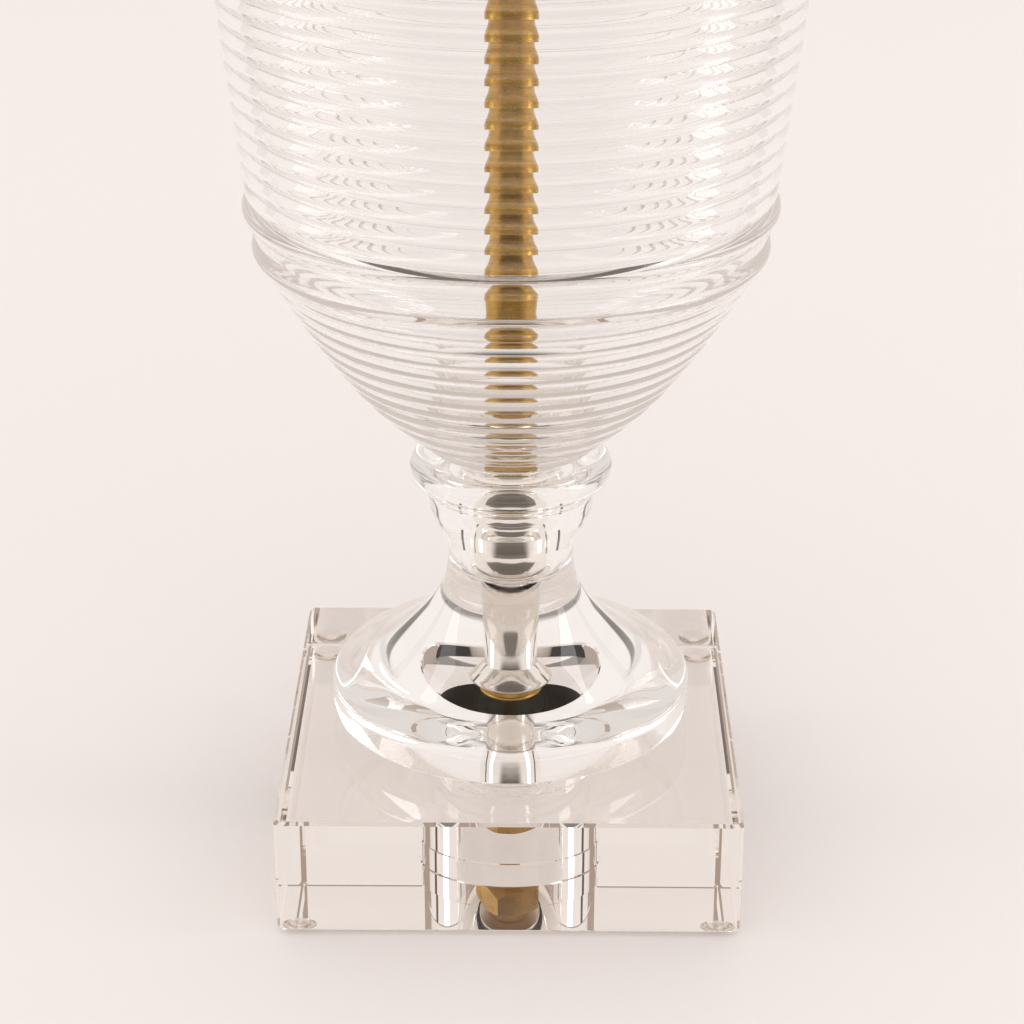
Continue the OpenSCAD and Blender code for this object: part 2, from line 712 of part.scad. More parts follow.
// A fluted knob on the shaft
module switch_knob() {
    flutes = 16;
    shaft_grip = 7;
    start_y = socket_d / 2 + 1.5;
    r = knob_d / 2;
    color([0.12, 0.1, 0.08])
    translate([0, -start_y, switch_z]) rotate([90, 0, 0])
        difference() {
            rotate_extrude($fn = round_fn)
                polygon([[0, 0], [r - 1.6, 0], [r - 1, 0.8], [r - 1.6, 2.4], [r, 4.4], [r, knob_l - 1.5],
                         [r - 1.5, knob_l], [0, knob_l]]);
            for (i = [0:flutes - 1]) rotate([0, 0, i * 360 / flutes]) translate([r + 0.3, 0, 4])
                cylinder(d = 1.6, h = knob_l, $fn = 16);
            translate([0, 0, -1]) cylinder(d = 4.2 + 2 * fit, h = shaft_grip + 1, $fn = 48);
        }
}

module bulb_base() {
    r = bulb_base_d / 2;
    thread_pitch = 3.6;
    color([0.75, 0.73, 0.7])
    translate([0, 0, bulb_seat_z])
        rotate_extrude($fn = round_fn)
            polygon(concat([[0, 0], [4.6, 0], [5.4, 1.5], [9, 3.4], [r - 0.9, 4.4]],
                           [for (i = [0:19]) [r - 0.35 + 0.35 * sin(i * 90), 5 + i * thread_pitch / 4]],
                           [[r, bulb_base_h - 1], [bulb_neck_d / 2 - 0.8, bulb_base_h], [0, bulb_base_h]]));
}

module bulb_glass() {
    r = bulb_d / 2;
    start = bulb_seat_z + bulb_base_h;
    ball_z = socket_top + bulb_h - r;
    neck_r = bulb_neck_d / 2;
    wall = 0.8;
    leave_a = -32;
    outer = concat([[neck_r, start], [neck_r + 0.2, start + 6]],
        bezier([neck_r + 0.2, start + 6], [neck_r + 1, start + 18],
               [r * cos(leave_a) + 9 * sin(leave_a), ball_z + r * sin(leave_a) - 9 * cos(leave_a)],
               [r * cos(leave_a), ball_z + r * sin(leave_a)], 8),
        arc(0, ball_z, r, leave_a + 8, 90, 14));
    inner = concat(arc(0, ball_z, r - wall, 90, leave_a + 8, 14),
        bezier([(r - wall) * cos(leave_a), ball_z + (r - wall) * sin(leave_a)],
               [(r - wall) * cos(leave_a) + 9 * sin(leave_a),
                ball_z + (r - wall) * sin(leave_a) - 9 * cos(leave_a)],
               [neck_r + 0.2 - wall, start + 18], [neck_r + 0.2 - wall, start + 6], 8),
        [[neck_r - wall, start + 1], [0, start + 1]]);
    color([0.95, 0.95, 0.93, 0.6])
    rotate_extrude($fn = round_fn) polygon(concat([[0, start]], outer, inner));
}

// The glass stem in the bulb, its two leads and the filament between them
module bulb_stem() {
    start = bulb_seat_z + bulb_base_h + 1;
    lead_top = socket_top + bulb_h - bulb_d / 2 + 4;
    lead_x = 9;
    color([0.8, 0.8, 0.78]) {
        translate([0, 0, start]) cylinder(d1 = 14, d2 = 6, h = 16, $fn = 48);
        translate([0, 0, start + 14]) sphere(d = 7, $fn = 32);
        for (side = [-1, 1]) translate([side * 1.5, 0, start + 14])
            rotate([0, side * atan((lead_x - 1.5) / (lead_top - start - 14)), 0])
                cylinder(d = 0.9, h = norm([lead_x - 1.5, lead_top - start - 14]), $fn = 16);
        translate([-lead_x, 0, lead_top]) rotate([0, 90, 0]) cylinder(d = 1.2, h = 2 * lead_x, $fn = 16);
    }
}

// The harp, from its feet round the bulb to the stud

module wire_arc(x, z, r, from_a, to_a) {
    trim = joint_trim / r * 180 / PI;
    translate([x, 0, z]) rotate([90, 0, 0]) rotate([0, 0, from_a + trim])
        rotate_extrude(angle = to_a - from_a - 2 * trim, $fn = 96)
            translate([r, 0]) circle(d = harp_wire_d, $fn = 24);
}

// A ball where two lengths of the wire meet
module wire_joint(x, z) {
    translate([x, 0, z]) sphere(d = harp_wire_d + joint_extra, $fn = 32);
}

module harp_side(side) {
    foot_x = harp_foot_span / 2;
    side_x = harp_span / 2;
    mid_x = foot_x + bend_r * (1 - cos(bend_angle));
    mid_z = bend_z + bend_r * sin(bend_angle);
    mirror([side < 0 ? 1 : 0, 0, 0]) {
        translate([foot_x, 0, post_z + gap]) difference() {
            cylinder(d = foot_outer_d, h = foot_len, $fn = 48);
            translate([0, 0, -1]) cylinder(d = foot_bore_d, h = foot_len - 3, $fn = 48);
        }
        translate([foot_x, 0, post_z + foot_len - 1])
            cylinder(d = harp_wire_d, h = bend_z - post_z - foot_len + 1 - joint_trim, $fn = 24);
        wire_joint(foot_x, bend_z);
        wire_arc(foot_x + bend_r, bend_z, bend_r, 180 - bend_angle, 180);
        wire_joint(mid_x, mid_z);
        wire_arc(side_x - bend_r, side_z, bend_r, -bend_angle, 0);
        wire_joint(side_x, side_z);
        translate([side_x, 0, side_z + joint_trim])
            cylinder(d = harp_wire_d, h = bow_z - side_z - 2 * joint_trim, $fn = 24);
        wire_joint(side_x, bow_z);
    }
}

module harp() {
    color([0.71, 0.53, 0.27]) {
        harp_side(-1);
        harp_side(1);
        wire_arc(0, bow_z, bow_r, 0, 180);
        translate([0, 0, stud_seat_z]) cylinder(d = stud_seat_d, h = stud_seat_h, $fn = 48);
        translate([0, 0, stud_seat_z]) cylinder(d = stud_d, h = stud_seat_h + stud_l, $fn = 48);
    }
}

module harp_sleeve(side) {
    color([0.71, 0.53, 0.27])
    translate([side * harp_foot_span / 2, 0, post_z + fit])
        tube(foot_outer_d + 2 * harp_sleeve_wall, foot_outer_d + 2 * fit, harp_sleeve_h);
}

module harp_sleeve_left() { harp_sleeve(-1); }
module harp_sleeve_right() { harp_sleeve(1); }

// The shade and the finial

module shade_skin() {
    bottom_r = shade_bottom_d / 2;
    top_r = shade_top_d / 2;
    color([0.94, 0.91, 0.85])
    rotate_extrude($fn = 128)
        polygon([[bottom_r - shade_t, shade_z], [bottom_r, shade_z],
                 [top_r, shade_top_z], [top_r - shade_t, shade_top_z]]);
}

module ring_at(z) {
    wire_r = ring_wire_d / 2;
    translate([0, 0, z]) rotate_extrude($fn = 128)
        translate([shade_inner_r(z) - wire_r * norm([1, shade_slope]) - fit, 0]) circle(r = wire_r, $fn = 16);
}

module shade_ring() {
    color([0.8, 0.78, 0.72]) ring_at(bottom_ring_z);
}

// The top ring with three arms down to the hub
module shade_spider() {
    arms = 3;
    arm_d = 3;
    hub_r = spider_hub_d / 2;
    arm_z = hub_seat_z + arm_d / 2 + 0.2;
    arm_start = finial_foot_r + 1;
    bend_x = shade_inner_r(top_ring_z) - 26;
    rise = top_ring_z - arm_z;
    run = shade_inner_r(top_ring_z) - ring_wire_d / 2 - gap - bend_x;
    color([0.71, 0.53, 0.27]) {
        ring_at(top_ring_z);
        difference() {
            union() {
                translate([0, 0, hub_seat_z]) cylinder(r = hub_r, h = spider_hub_t, $fn = 64);
                for (i = [0:arms - 1]) rotate([0, 0, 90 + i * 360 / arms]) {
                    translate([arm_start, 0, arm_z]) rotate([0, 90, 0])
                        cylinder(d = arm_d, h = bend_x - arm_start, $fn = 24);
                    translate([bend_x, 0, arm_z]) {
                        sphere(d = arm_d + joint_extra, $fn = 32);
                        rotate([0, 90 - atan(rise / run), 0])
                            cylinder(d = arm_d, h = norm([run, rise]), $fn = 24);
                    }
                }
            }
            translate([0, 0, hub_seat_z - 1])
                cylinder(d = stud_d + 0.6, h = spider_hub_t + arm_d + 2, $fn = 48);
        }
    }
}

// A turned finial with a blind threaded bore
module finial() {
    r = finial_d / 2;
    foot_r = finial_foot_r;
    waist_r = 4.2;
    ball_z = finial_h - r - 3;
    color([0.71, 0.53, 0.27])
    translate([0, 0, finial_z])
        difference() {
            rotate_extrude($fn = round_fn)
                polygon(concat(
                    [[0, 0], [foot_r - 0.6, 0], [foot_r, 0.6], [foot_r, 2.6], [foot_r - 1.4, 3.4]],
                    bezier([foot_r - 1.4, 3.4], [foot_r - 1.6, 6], [waist_r + 0.6, ball_z - r - 3],
                           [r * cos(-62), ball_z + r * sin(-62)], 6),
                    arc(0, ball_z, r, -54, 62, 14),
                    [[3.2, finial_h - 1.6], [2.4, finial_h - 0.4], [1.2, finial_h], [0, finial_h]]));
            translate([0, 0, -1]) cylinder(d = stud_d + 2 * fit, h = stud_l - spider_hub_t + 2, $fn = 48);
        }
}

base_block();
pad_front_left();
pad_front_right();
pad_back_left();
pad_back_right();
pedestal();
urn();
urn_seal();
stem_sleeve();
stem_foot();
foot_collar();
lamp_pipe();
center_tube();
base_gasket();
base_washer();
base_spacer();
base_nut();
cap_gasket();
urn_cap();
neck();
cord_bushing();
harp_saddle();
lock_nut();
socket_cap();
socket_core();
socket_insulator();
socket_shell();
screw_shell();
center_contact();
switch_shaft();
switch_knob();
bulb_base();
bulb_glass();
bulb_stem();
harp();
harp_sleeve_left();
harp_sleeve_right();
shade_skin();
shade_ring();
shade_spider();
finial();
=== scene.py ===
# %% [markdown]
# # A clear glass urn lamp
# The lamp is almost all glass: a ribbed urn, a turned pedestal and a thick square block. A nickel
# stem and a brass tube run up the middle. Glass shows what is behind and around it, so most of this
# lesson is about true outlines, true thicknesses and something worth reflecting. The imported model
# comes first, because every piece is built in its frame.

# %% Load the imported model
import math

import bpy
import numpy as np
from mathutils import Matrix, Vector


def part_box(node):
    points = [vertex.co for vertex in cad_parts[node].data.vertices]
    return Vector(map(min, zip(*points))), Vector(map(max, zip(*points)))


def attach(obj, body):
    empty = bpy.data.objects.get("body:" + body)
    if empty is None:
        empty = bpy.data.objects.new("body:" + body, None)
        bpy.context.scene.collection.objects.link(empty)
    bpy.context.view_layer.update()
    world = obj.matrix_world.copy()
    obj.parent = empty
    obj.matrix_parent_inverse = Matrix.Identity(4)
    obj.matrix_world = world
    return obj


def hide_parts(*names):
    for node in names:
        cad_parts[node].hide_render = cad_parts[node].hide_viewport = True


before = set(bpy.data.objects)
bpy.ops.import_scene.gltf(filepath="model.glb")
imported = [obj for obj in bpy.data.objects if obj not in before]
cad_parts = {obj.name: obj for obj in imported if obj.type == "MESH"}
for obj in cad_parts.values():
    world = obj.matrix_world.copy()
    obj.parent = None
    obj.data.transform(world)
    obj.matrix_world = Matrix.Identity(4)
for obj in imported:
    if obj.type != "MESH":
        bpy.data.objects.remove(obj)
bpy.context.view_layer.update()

MM = 0.001

# %% [markdown]
# ## The camera
# The photograph looks down on the lamp's foot from in front, with a long lens, and cuts the lamp
# off at mid urn. The values below came from matching the block's corners and the foot's rim, so
# pieces built at their real sizes land on their places in the picture.

# %% Camera
PICTURE_WIDTH = 1024
FOCAL_LENGTH_PX = 2552.3
DOWNWARD_TILT = 0.4406
TURN = 0.00776
ROLL = 0.0017
CAMERA_AT = (6.4 * MM, -776.3 * MM, 485.1 * MM)
SENSOR_WIDTH = 36.0

camera_data = bpy.data.cameras.new("photo_camera")
camera_data.sensor_width = SENSOR_WIDTH
camera_data.lens = FOCAL_LENGTH_PX / PICTURE_WIDTH * SENSOR_WIDTH
camera_data.clip_start = 0.01
camera = bpy.data.objects.new("photo_camera", camera_data)
tilted = Matrix.Rotation(TURN, 4, "Z") @ Matrix.Rotation(math.pi / 2 - DOWNWARD_TILT, 4, "X")
camera.matrix_world = Matrix.Translation(CAMERA_AT) @ tilted @ Matrix.Rotation(ROLL, 4, "Z")
bpy.context.collection.objects.link(camera)
bpy.context.scene.camera = camera
bpy.context.scene.view_settings.view_transform = "Standard"
print("lens: %.1f mm" % camera_data.lens)

# %% [markdown]
# ## Outlines and turned pieces
# Nearly every piece was turned or blown, so it is an outline carried round the lamp's axis. An
# outline is a list of (radius, height) points in millimetres, put together from straight lines,
# arcs and cubic curves. One function turns it into a mesh with whole arrays of numbers.

# %% Outline helpers
def line(*points):
    """Straight stretches through the points given."""
    return np.array(points, float)


def arc(cx, cy, radius, start, end, steps=12):
    """Points on a circle: centre plus radius times (cos a, sin a), with a in degrees."""
    a = np.radians(np.linspace(start, end, steps + 1))
    return np.stack([cx + radius * np.cos(a), cy + radius * np.sin(a)], 1)


def cubic(t, a, b, c, d):
    """The cubic that leaves a towards b and arrives at d from c."""
    return (1 - t) ** 3 * a + 3 * (1 - t) ** 2 * t * b + 3 * (1 - t) * t ** 2 * c + t ** 3 * d


def curve(p, q, r, s, steps=16):
    """A cubic curve from p to s that leaves towards q and arrives from r."""
    t = np.linspace(0, 1, steps + 1)[:, None]
    return cubic(t, *(np.array(point, float) for point in (p, q, r, s)))


def joined(*stretches):
    """Stretches end to end, with repeated points dropped."""
    points = np.concatenate(stretches)
    step = np.linalg.norm(np.diff(points, axis=0), axis=1)
    return points[np.concatenate([[True], step > 1e-4])]


def rounded(points, radius, steps=5):
    """A closed outline whose corners are each cut by a small curve of about the radius given."""
    points = np.array(points, float)
    before, after = np.roll(points, 1, 0), np.roll(points, -1, 0)
    back, ahead = before - points, after - points
    back_length = np.linalg.norm(back, axis=1)[:, None]
    ahead_length = np.linalg.norm(ahead, axis=1)[:, None]
    reach = np.minimum(radius, 0.45 * np.minimum(back_length, ahead_length))
    start, end = points + back / back_length * reach, points + ahead / ahead_length * reach
    t = np.linspace(0, 1, steps + 1)[None, :, None]
    bent = (1 - t) ** 2 * start[:, None] + 2 * (1 - t) * t * points[:, None] + t ** 2 * end[:, None]
    return bent.reshape(-1, 2)


print("a quarter circle in 4 steps:", arc(0, 0, 1, 0, 90, 4).round(3).tolist())

# %% [markdown]
# ## From outline to mesh
# A turned piece could be made with the Screw or Spin tool. Here its points are worked out at once
# as a grid of rows, one row for each point of the outline, because the same grid can then carry
# threads. A closed outline gives a ring, and one that starts and ends on the axis gets two poles.

# %% Mesh helpers
def piece_from(name, vertices, faces, material, body, replaces=(), sharp=28.0):
    """A piece in metres from arrays of vertices and faces, tied to its body, slot and CAD nodes."""
    mesh = bpy.data.meshes.new(name)
    mesh.from_pydata(np.asarray(vertices).tolist(), [], [list(face) for face in faces])
    mesh.update()
    mesh.polygons.foreach_set("use_smooth", np.ones(len(mesh.polygons), bool))
    mesh.set_sharp_from_angle(angle=math.radians(sharp))
    piece = bpy.data.objects.new(name, mesh)
    bpy.context.collection.objects.link(piece)
    mesh.materials.append(material)
    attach(piece, body)
    if replaces:
        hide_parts(*replaces)
    return piece


def turned_grid(outline, segments):
    """Rows of the outline at equal turns: x = r cos a, y = r sin a, z = h, for every a and row."""
    r, h = np.asarray(outline, float).T[:, :, None] * MM
    a = np.arange(segments) * 2 * math.pi / segments
    return np.stack([r * np.cos(a), r * np.sin(a), h * np.ones(segments)], -1)


def ring_faces(rows, segments, closed):
    """Quads between neighbouring rows, and from the last row to the first where it is closed."""
    row = np.arange(rows if closed else rows - 1)[:, None]
    here = np.arange(segments)[None, :]
    ahead = (here + 1) % segments
    up = (row + 1) % rows
    quads = np.stack([row * segments + here, row * segments + ahead,
                      up * segments + ahead, up * segments + here], -1)
    return quads.reshape(-1, 4)


def capped(rows, first, last):
    """Points and faces of a surface of rows, closed by a pole at its first end and at its last."""
    count, segments = rows.shape[:2]
    here = np.arange(segments)
    ahead = (here + 1) % segments
    first_pole = count * segments
    last_row, last_pole = first_pole - segments, first_pole + 1
    faces = ring_faces(count, segments, False).tolist()
    faces += np.stack([np.full(segments, first_pole), ahead, here], 1).tolist()
    faces += np.stack([np.full(segments, last_pole), last_row + here, last_row + ahead], 1).tolist()
    return np.concatenate([rows.reshape(-1, 3), [first, last]]), faces


def on_axis(height):
    """The point on the lamp's axis at a height in millimetres."""
    return 0, 0, height * MM


def turned(name, outline, material, body, replaces=(), segments=160, sharp=28.0):
    """A turned piece. An outline that starts and ends on the axis gets a pole at each end, and any
    other is a closed loop. The outline is turned round first if it runs clockwise."""
    outline = np.asarray(outline, float)
    r, h = outline.T
    if np.sum(r * np.roll(h, -1) - np.roll(r, -1) * h) < 0:
        outline = outline[::-1]
    if outline[0, 0] < 1e-6 and outline[-1, 0] < 1e-6:
        points, faces = capped(turned_grid(outline[1:-1], segments),
                               on_axis(outline[0, 1]), on_axis(outline[-1, 1]))
    else:
        points = turned_grid(outline, segments).reshape(-1, 3)
        faces = ring_faces(len(outline), segments, True)
    return piece_from(name, points, faces, material, body, replaces, sharp)


def level(node, end):
    """Height in millimetres of a CAD node's underside (end 0) or top (end 1)."""
    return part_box(node)[end][2] / MM


def reach(node):
    """Largest radius in millimetres of a turned CAD node."""
    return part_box(node)[1][0] / MM


print("block top at %.1f mm" % level("base_block", 1))

# %% [markdown]
# ## Materials
# Three effects come back in several finishes: a cloudy colour change, the rings that a lathe leaves
# and a fine bump. Each is a shader group with its own values for every finish. The groups read
# Object coordinates, so a pattern stays on its piece from every side. The first one is for metal
# that has aged or been handled: broad noise mixes two tones, and the roughness follows it.

# %% Cloudy finish
def new_group(name, inputs, outputs):
    """An empty shader group with (name, kind, value) inputs and (name, kind) outputs."""
    group = bpy.data.node_groups.new(name, "ShaderNodeTree")
    for label, kind, value in inputs:
        socket = group.interface.new_socket(name=label, in_out="INPUT", socket_type=kind)
        socket.default_value = value
    for label, kind in outputs:
        group.interface.new_socket(name=label, in_out="OUTPUT", socket_type=kind)
    return group, group.nodes.new("NodeGroupInput"), group.nodes.new("NodeGroupOutput")


def cloudy_group():
    """Mixes two colours by broad noise, and gives a roughness that follows the same clouds."""
    group, given, out = new_group(
        "cloudy_finish",
        [("Light Colour", "NodeSocketColor", (1, 1, 1, 1)),
         ("Dark Colour", "NodeSocketColor", (0, 0, 0, 1)),
         ("Scale", "NodeSocketFloat", 60.0), ("Low Roughness", "NodeSocketFloat", 0.2),
         ("High Roughness", "NodeSocketFloat", 0.4)],
        [("Colour", "NodeSocketColor"), ("Roughness", "NodeSocketFloat")])
    nodes, links = group.nodes, group.links
    place = nodes.new("ShaderNodeTexCoord")
    noise = nodes.new("ShaderNodeTexNoise")
    noise.inputs["Detail"].default_value = 6
    noise.inputs["Roughness"].default_value = 0.62
    spread = nodes.new("ShaderNodeMapRange")
    spread.inputs["From Min"].default_value = 0.34
    spread.inputs["From Max"].default_value = 0.66
    mix = nodes.new("ShaderNodeMix")
    mix.data_type = "RGBA"
    rough = nodes.new("ShaderNodeMapRange")
    links.new(place.outputs["Object"], noise.inputs["Vector"])
    links.new(given.outputs["Scale"], noise.inputs["Scale"])
    links.new(noise.outputs["Fac"], spread.inputs["Value"])
    links.new(spread.outputs["Result"], mix.inputs["Factor"])
    links.new(given.outputs["Light Colour"], mix.inputs["A"])
    links.new(given.outputs["Dark Colour"], mix.inputs["B"])
    links.new(spread.outputs["Result"], rough.inputs["Value"])
    links.new(given.outputs["Low Roughness"], rough.inputs["To Min"])
    links.new(given.outputs["High Roughness"], rough.inputs["To Max"])
    links.new(mix.outputs["Result"], out.inputs["Colour"])
    links.new(rough.outputs["Result"], out.inputs["Roughness"])
    return group


CLOUDY = cloudy_group()
print("group:", CLOUDY.name)

# %% [markdown]
# ## Lathe rings and grain
# A lathe leaves rings that go round a piece, so their noise changes only with height. Cast, moulded
# and blown surfaces have an even grain instead. Both are bumps of a fifth of a millimetre or less.

# %% Bumps
def turning_marks_group():
    """Fine rings left by a lathe: noise that changes only with height."""
    group, given, out = new_group(
        "turning_marks",
        [("Rings per Metre", "NodeSocketFloat", 900.0), ("Strength", "NodeSocketFloat", 0.2)],
        [("Normal", "NodeSocketVector")])
    nodes, links = group.nodes, group.links
    place = nodes.new("ShaderNodeTexCoord")
    split = nodes.new("ShaderNodeSeparateXYZ")
    stretch = nodes.new("ShaderNodeCombineXYZ")
    noise = nodes.new("ShaderNodeTexNoise")
    noise.inputs["Detail"].default_value = 4
    bump = nodes.new("ShaderNodeBump")
    bump.inputs["Distance"].default_value = 0.0002
    links.new(place.outputs["Object"], split.inputs["Vector"])
    links.new(split.outputs["Z"], stretch.inputs["Z"])
    links.new(stretch.outputs["Vector"], noise.inputs["Vector"])
    links.new(given.outputs["Rings per Metre"], noise.inputs["Scale"])
    links.new(noise.outputs["Fac"], bump.inputs["Height"])
    links.new(given.outputs["Strength"], bump.inputs["Strength"])
    links.new(bump.outputs["Normal"], out.inputs["Normal"])
    return group


def fine_bump_group():
    """Even fine grain as a bump, for cast, moulded and sanded surfaces."""
    group, given, out = new_group(
        "fine_bump",
        [("Scale", "NodeSocketFloat", 900.0), ("Strength", "NodeSocketFloat", 0.2),
         ("Distance", "NodeSocketFloat", 0.0002)],
        [("Normal", "NodeSocketVector")])
    nodes, links = group.nodes, group.links
    place = nodes.new("ShaderNodeTexCoord")
    noise = nodes.new("ShaderNodeTexNoise")
    noise.inputs["Detail"].default_value = 5
    bump = nodes.new("ShaderNodeBump")
    links.new(place.outputs["Object"], noise.inputs["Vector"])
    links.new(given.outputs["Scale"], noise.inputs["Scale"])
    links.new(noise.outputs["Fac"], bump.inputs["Height"])
    links.new(given.outputs["Strength"], bump.inputs["Strength"])
    links.new(given.outputs["Distance"], bump.inputs["Distance"])
    links.new(bump.outputs["Normal"], out.inputs["Normal"])
    return group


TURNING_MARKS = turning_marks_group()
FINE_BUMP = fine_bump_group()
print("groups:", TURNING_MARKS.name, FINE_BUMP.name)

# %% [markdown]
# ## Metals and moulded parts
# Each finish is a Principled shader in a material of its own, with the groups placed in it. The
# brass in the photograph is aged and brownish, the nickel is nearly a mirror, and the gasket is a
# black rubber that hardly shines.

# %% Finishes
METAL_CLOUDS = 60.0
MOULDED_CLOUDS = 90.0
GRAIN_DEPTH = 0.2 * MM


def finish(name, **values):
    """A material with a Principled shader whose sockets take the values given."""
    material = bpy.data.materials.new(name)
    material.use_nodes = True
    shader = material.node_tree.nodes["Principled BSDF"]
    for label, value in values.items():
        shader.inputs[label.replace("_", " ")].default_value = value
    return material, shader


def add_group(material, group, values, outputs):
    """Places a shader group in a material and links its outputs to the Principled sockets named."""
    tree = material.node_tree
    node = tree.nodes.new("ShaderNodeGroup")
    node.node_tree = group
    for label, value in values.items():
        node.inputs[label].default_value = value
    shader = tree.nodes["Principled BSDF"]
    for source, target in outputs.items():
        tree.links.new(node.outputs[source], shader.inputs[target])
    return node


def metal(name, light, dark, rough, marks=0.0):
    """A metal with cloudy tone, and lathe rings where marks is above 0."""
    material, shader = finish(name, Metallic=1.0)
    add_group(material, CLOUDY,
              {"Light Colour": (*light, 1), "Dark Colour": (*dark, 1), "Scale": METAL_CLOUDS,
               "Low Roughness": rough[0], "High Roughness": rough[1]},
              {"Colour": "Base Color", "Roughness": "Roughness"})
    if marks > 0:
        add_group(material, TURNING_MARKS, {"Strength": marks}, {"Normal": "Normal"})
    return material


def moulded(name, light, dark, rough, grain=900.0, strength=0.15, shine=0.5):
    """Rubber, plastic or board: cloudy tone over a fine grain."""
    material, shader = finish(name, Specular_IOR_Level=shine)
    add_group(material, CLOUDY,
              {"Light Colour": (*light, 1), "Dark Colour": (*dark, 1), "Scale": MOULDED_CLOUDS,
               "Low Roughness": rough[0], "High Roughness": rough[1]},
              {"Colour": "Base Color", "Roughness": "Roughness"})
    add_group(material, FINE_BUMP,
              {"Scale": grain, "Strength": strength, "Distance": GRAIN_DEPTH}, {"Normal": "Normal"})
    return material


antique_brass = metal("antique_brass", (0.62, 0.39, 0.11), (0.42, 0.23, 0.05), (0.20, 0.32), 0.15)
bright_brass = metal("bright_brass", (0.72, 0.52, 0.24), (0.60, 0.41, 0.17), (0.18, 0.28), 0.1)
polished_nickel = metal("polished_nickel", (0.95, 0.92, 0.88), (0.88, 0.85, 0.81),
                        (0.05, 0.09), 0.04)
zinc_steel = metal("zinc_steel", (0.90, 0.88, 0.86), (0.80, 0.78, 0.76), (0.28, 0.42))
thread_metal = metal("thread_metal", (0.82, 0.81, 0.79), (0.72, 0.71, 0.69), (0.2, 0.32))
black_rubber = moulded("black_rubber", (0.022, 0.015, 0.008), (0.012, 0.008, 0.004),
                       (0.35, 0.5), shine=0.08)
phenolic = moulded("phenolic", (0.030, 0.022, 0.018), (0.016, 0.012, 0.010), (0.22, 0.32))
liner_board = moulded("liner_board", (0.58, 0.46, 0.32), (0.46, 0.35, 0.23), (0.75, 0.9),
                      600.0, 0.4)
print("plain finishes:", len(bpy.data.materials))

# %% [markdown]
# ## Clear glass
# The block, the pedestal, the urn and the pads are clear, so each is a Principled shader with full
# transmission. Two things are added. A ray that has bounced inside solid glass as often as the
# renderer allows would turn black, so it ends on a painted glow of even colour instead, which
# stands in for the light it would still carry. A renderer also finds little of the light that glass
# focuses, and would give it a shadow as dark as a stone's, so shadow rays are partly let through.
# Both are done with Light Path, in the material itself.

# %% Clear glass
GROUND_COLOUR = (0.905, 0.825, 0.79)
ROOM_COLOUR = (0.94, 0.875, 0.84)
MIRROR_BOUNCES = 4
ALL_BOUNCES = 12
WAVE_SCALE = 40.0
WAVE_DEPTH = 0.2 * MM


def shader_mix(tree, factor, first, second):
    """Two shaders mixed by a factor socket."""
    node = tree.nodes.new("ShaderNodeMixShader")
    tree.links.new(factor, node.inputs["Fac"])
    tree.links.new(first, node.inputs[1])
    tree.links.new(second, node.inputs[2])
    return node.outputs["Shader"]


def math_step(tree, operation, first, second=0.0):
    """A Math node on a socket, with a number or another socket where it needs two."""
    node = tree.nodes.new("ShaderNodeMath")
    node.operation = operation
    tree.links.new(first, node.inputs[0])
    if isinstance(second, (int, float)):
        node.inputs[1].default_value = second
    else:
        tree.links.new(second, node.inputs[1])
    return node.outputs["Value"]


def past_last_bounce(tree, rays):
    """1 where a ray has used up its mirror bounces or all its bounces, and 0 before that."""
    mirrored = math_step(tree, "GREATER_THAN", rays.outputs["Glossy Depth"], MIRROR_BOUNCES - 0.5)
    spent = math_step(tree, "GREATER_THAN", rays.outputs["Ray Depth"], ALL_BOUNCES - 0.5)
    return math_step(tree, "MAXIMUM", mirrored, spent)


def plain_glow(tree, colour):
    """A shader that is one even colour."""
    node = tree.nodes.new("ShaderNodeEmission")
    node.inputs["Color"].default_value = (*colour, 1)
    return node.outputs["Emission"]


def clear_glass(name, tint, painted_glow_colour, shade_share, wave_strength=0.0):
    """Polished clear glass that bends light for the eye.

    Rays that have used up their bounces end on a painted glow of the colour given, and shadow rays
    are held back by the shade share only. The wave strength gives hand made glass a faint uneven
    surface.
    """
    material, shader = finish(name, Roughness=0.0, IOR=1.5, Transmission_Weight=1.0)
    shader.inputs["Base Color"].default_value = (*tint, 1)
    if wave_strength > 0:
        add_group(material, FINE_BUMP,
                  {"Scale": WAVE_SCALE, "Strength": wave_strength, "Distance": WAVE_DEPTH},
                  {"Normal": "Normal"})
    tree = material.node_tree
    rays = tree.nodes.new("ShaderNodeLightPath")
    through = tree.nodes.new("ShaderNodeBsdfTransparent").outputs["BSDF"]
    body = shader_mix(tree, past_last_bounce(tree, rays), shader.outputs["BSDF"],
                      plain_glow(tree, painted_glow_colour))
    let_by = math_step(tree, "MULTIPLY", rays.outputs["Is Shadow Ray"], 1 - shade_share)
    result = shader_mix(tree, let_by, body, through)
    tree.links.new(result, tree.nodes["Material Output"].inputs["Surface"])
    return material


# The block's tint is darker and warmer than the other glass, and its glow is dark brown: painted
# shade for the shaded ground seen through the block. The pedestal's and urn's glows are painted
# light at their own levels.
block_glass = clear_glass("block_glass", (0.94, 0.903, 0.868), (0.42, 0.33, 0.27), 0.28)
pedestal_glass = clear_glass("pedestal_glass", (1.0, 0.995, 0.985), (0.76, 0.70, 0.66), 0.12)
urn_glass = clear_glass("urn_glass", (1.0, 0.995, 0.99), (0.62, 0.54, 0.49), 0.08, 0.05)
clear_rubber = clear_glass("clear_rubber", (0.97, 0.95, 0.93), ROOM_COLOUR, 0.1)
print("finishes:", len(bpy.data.materials))
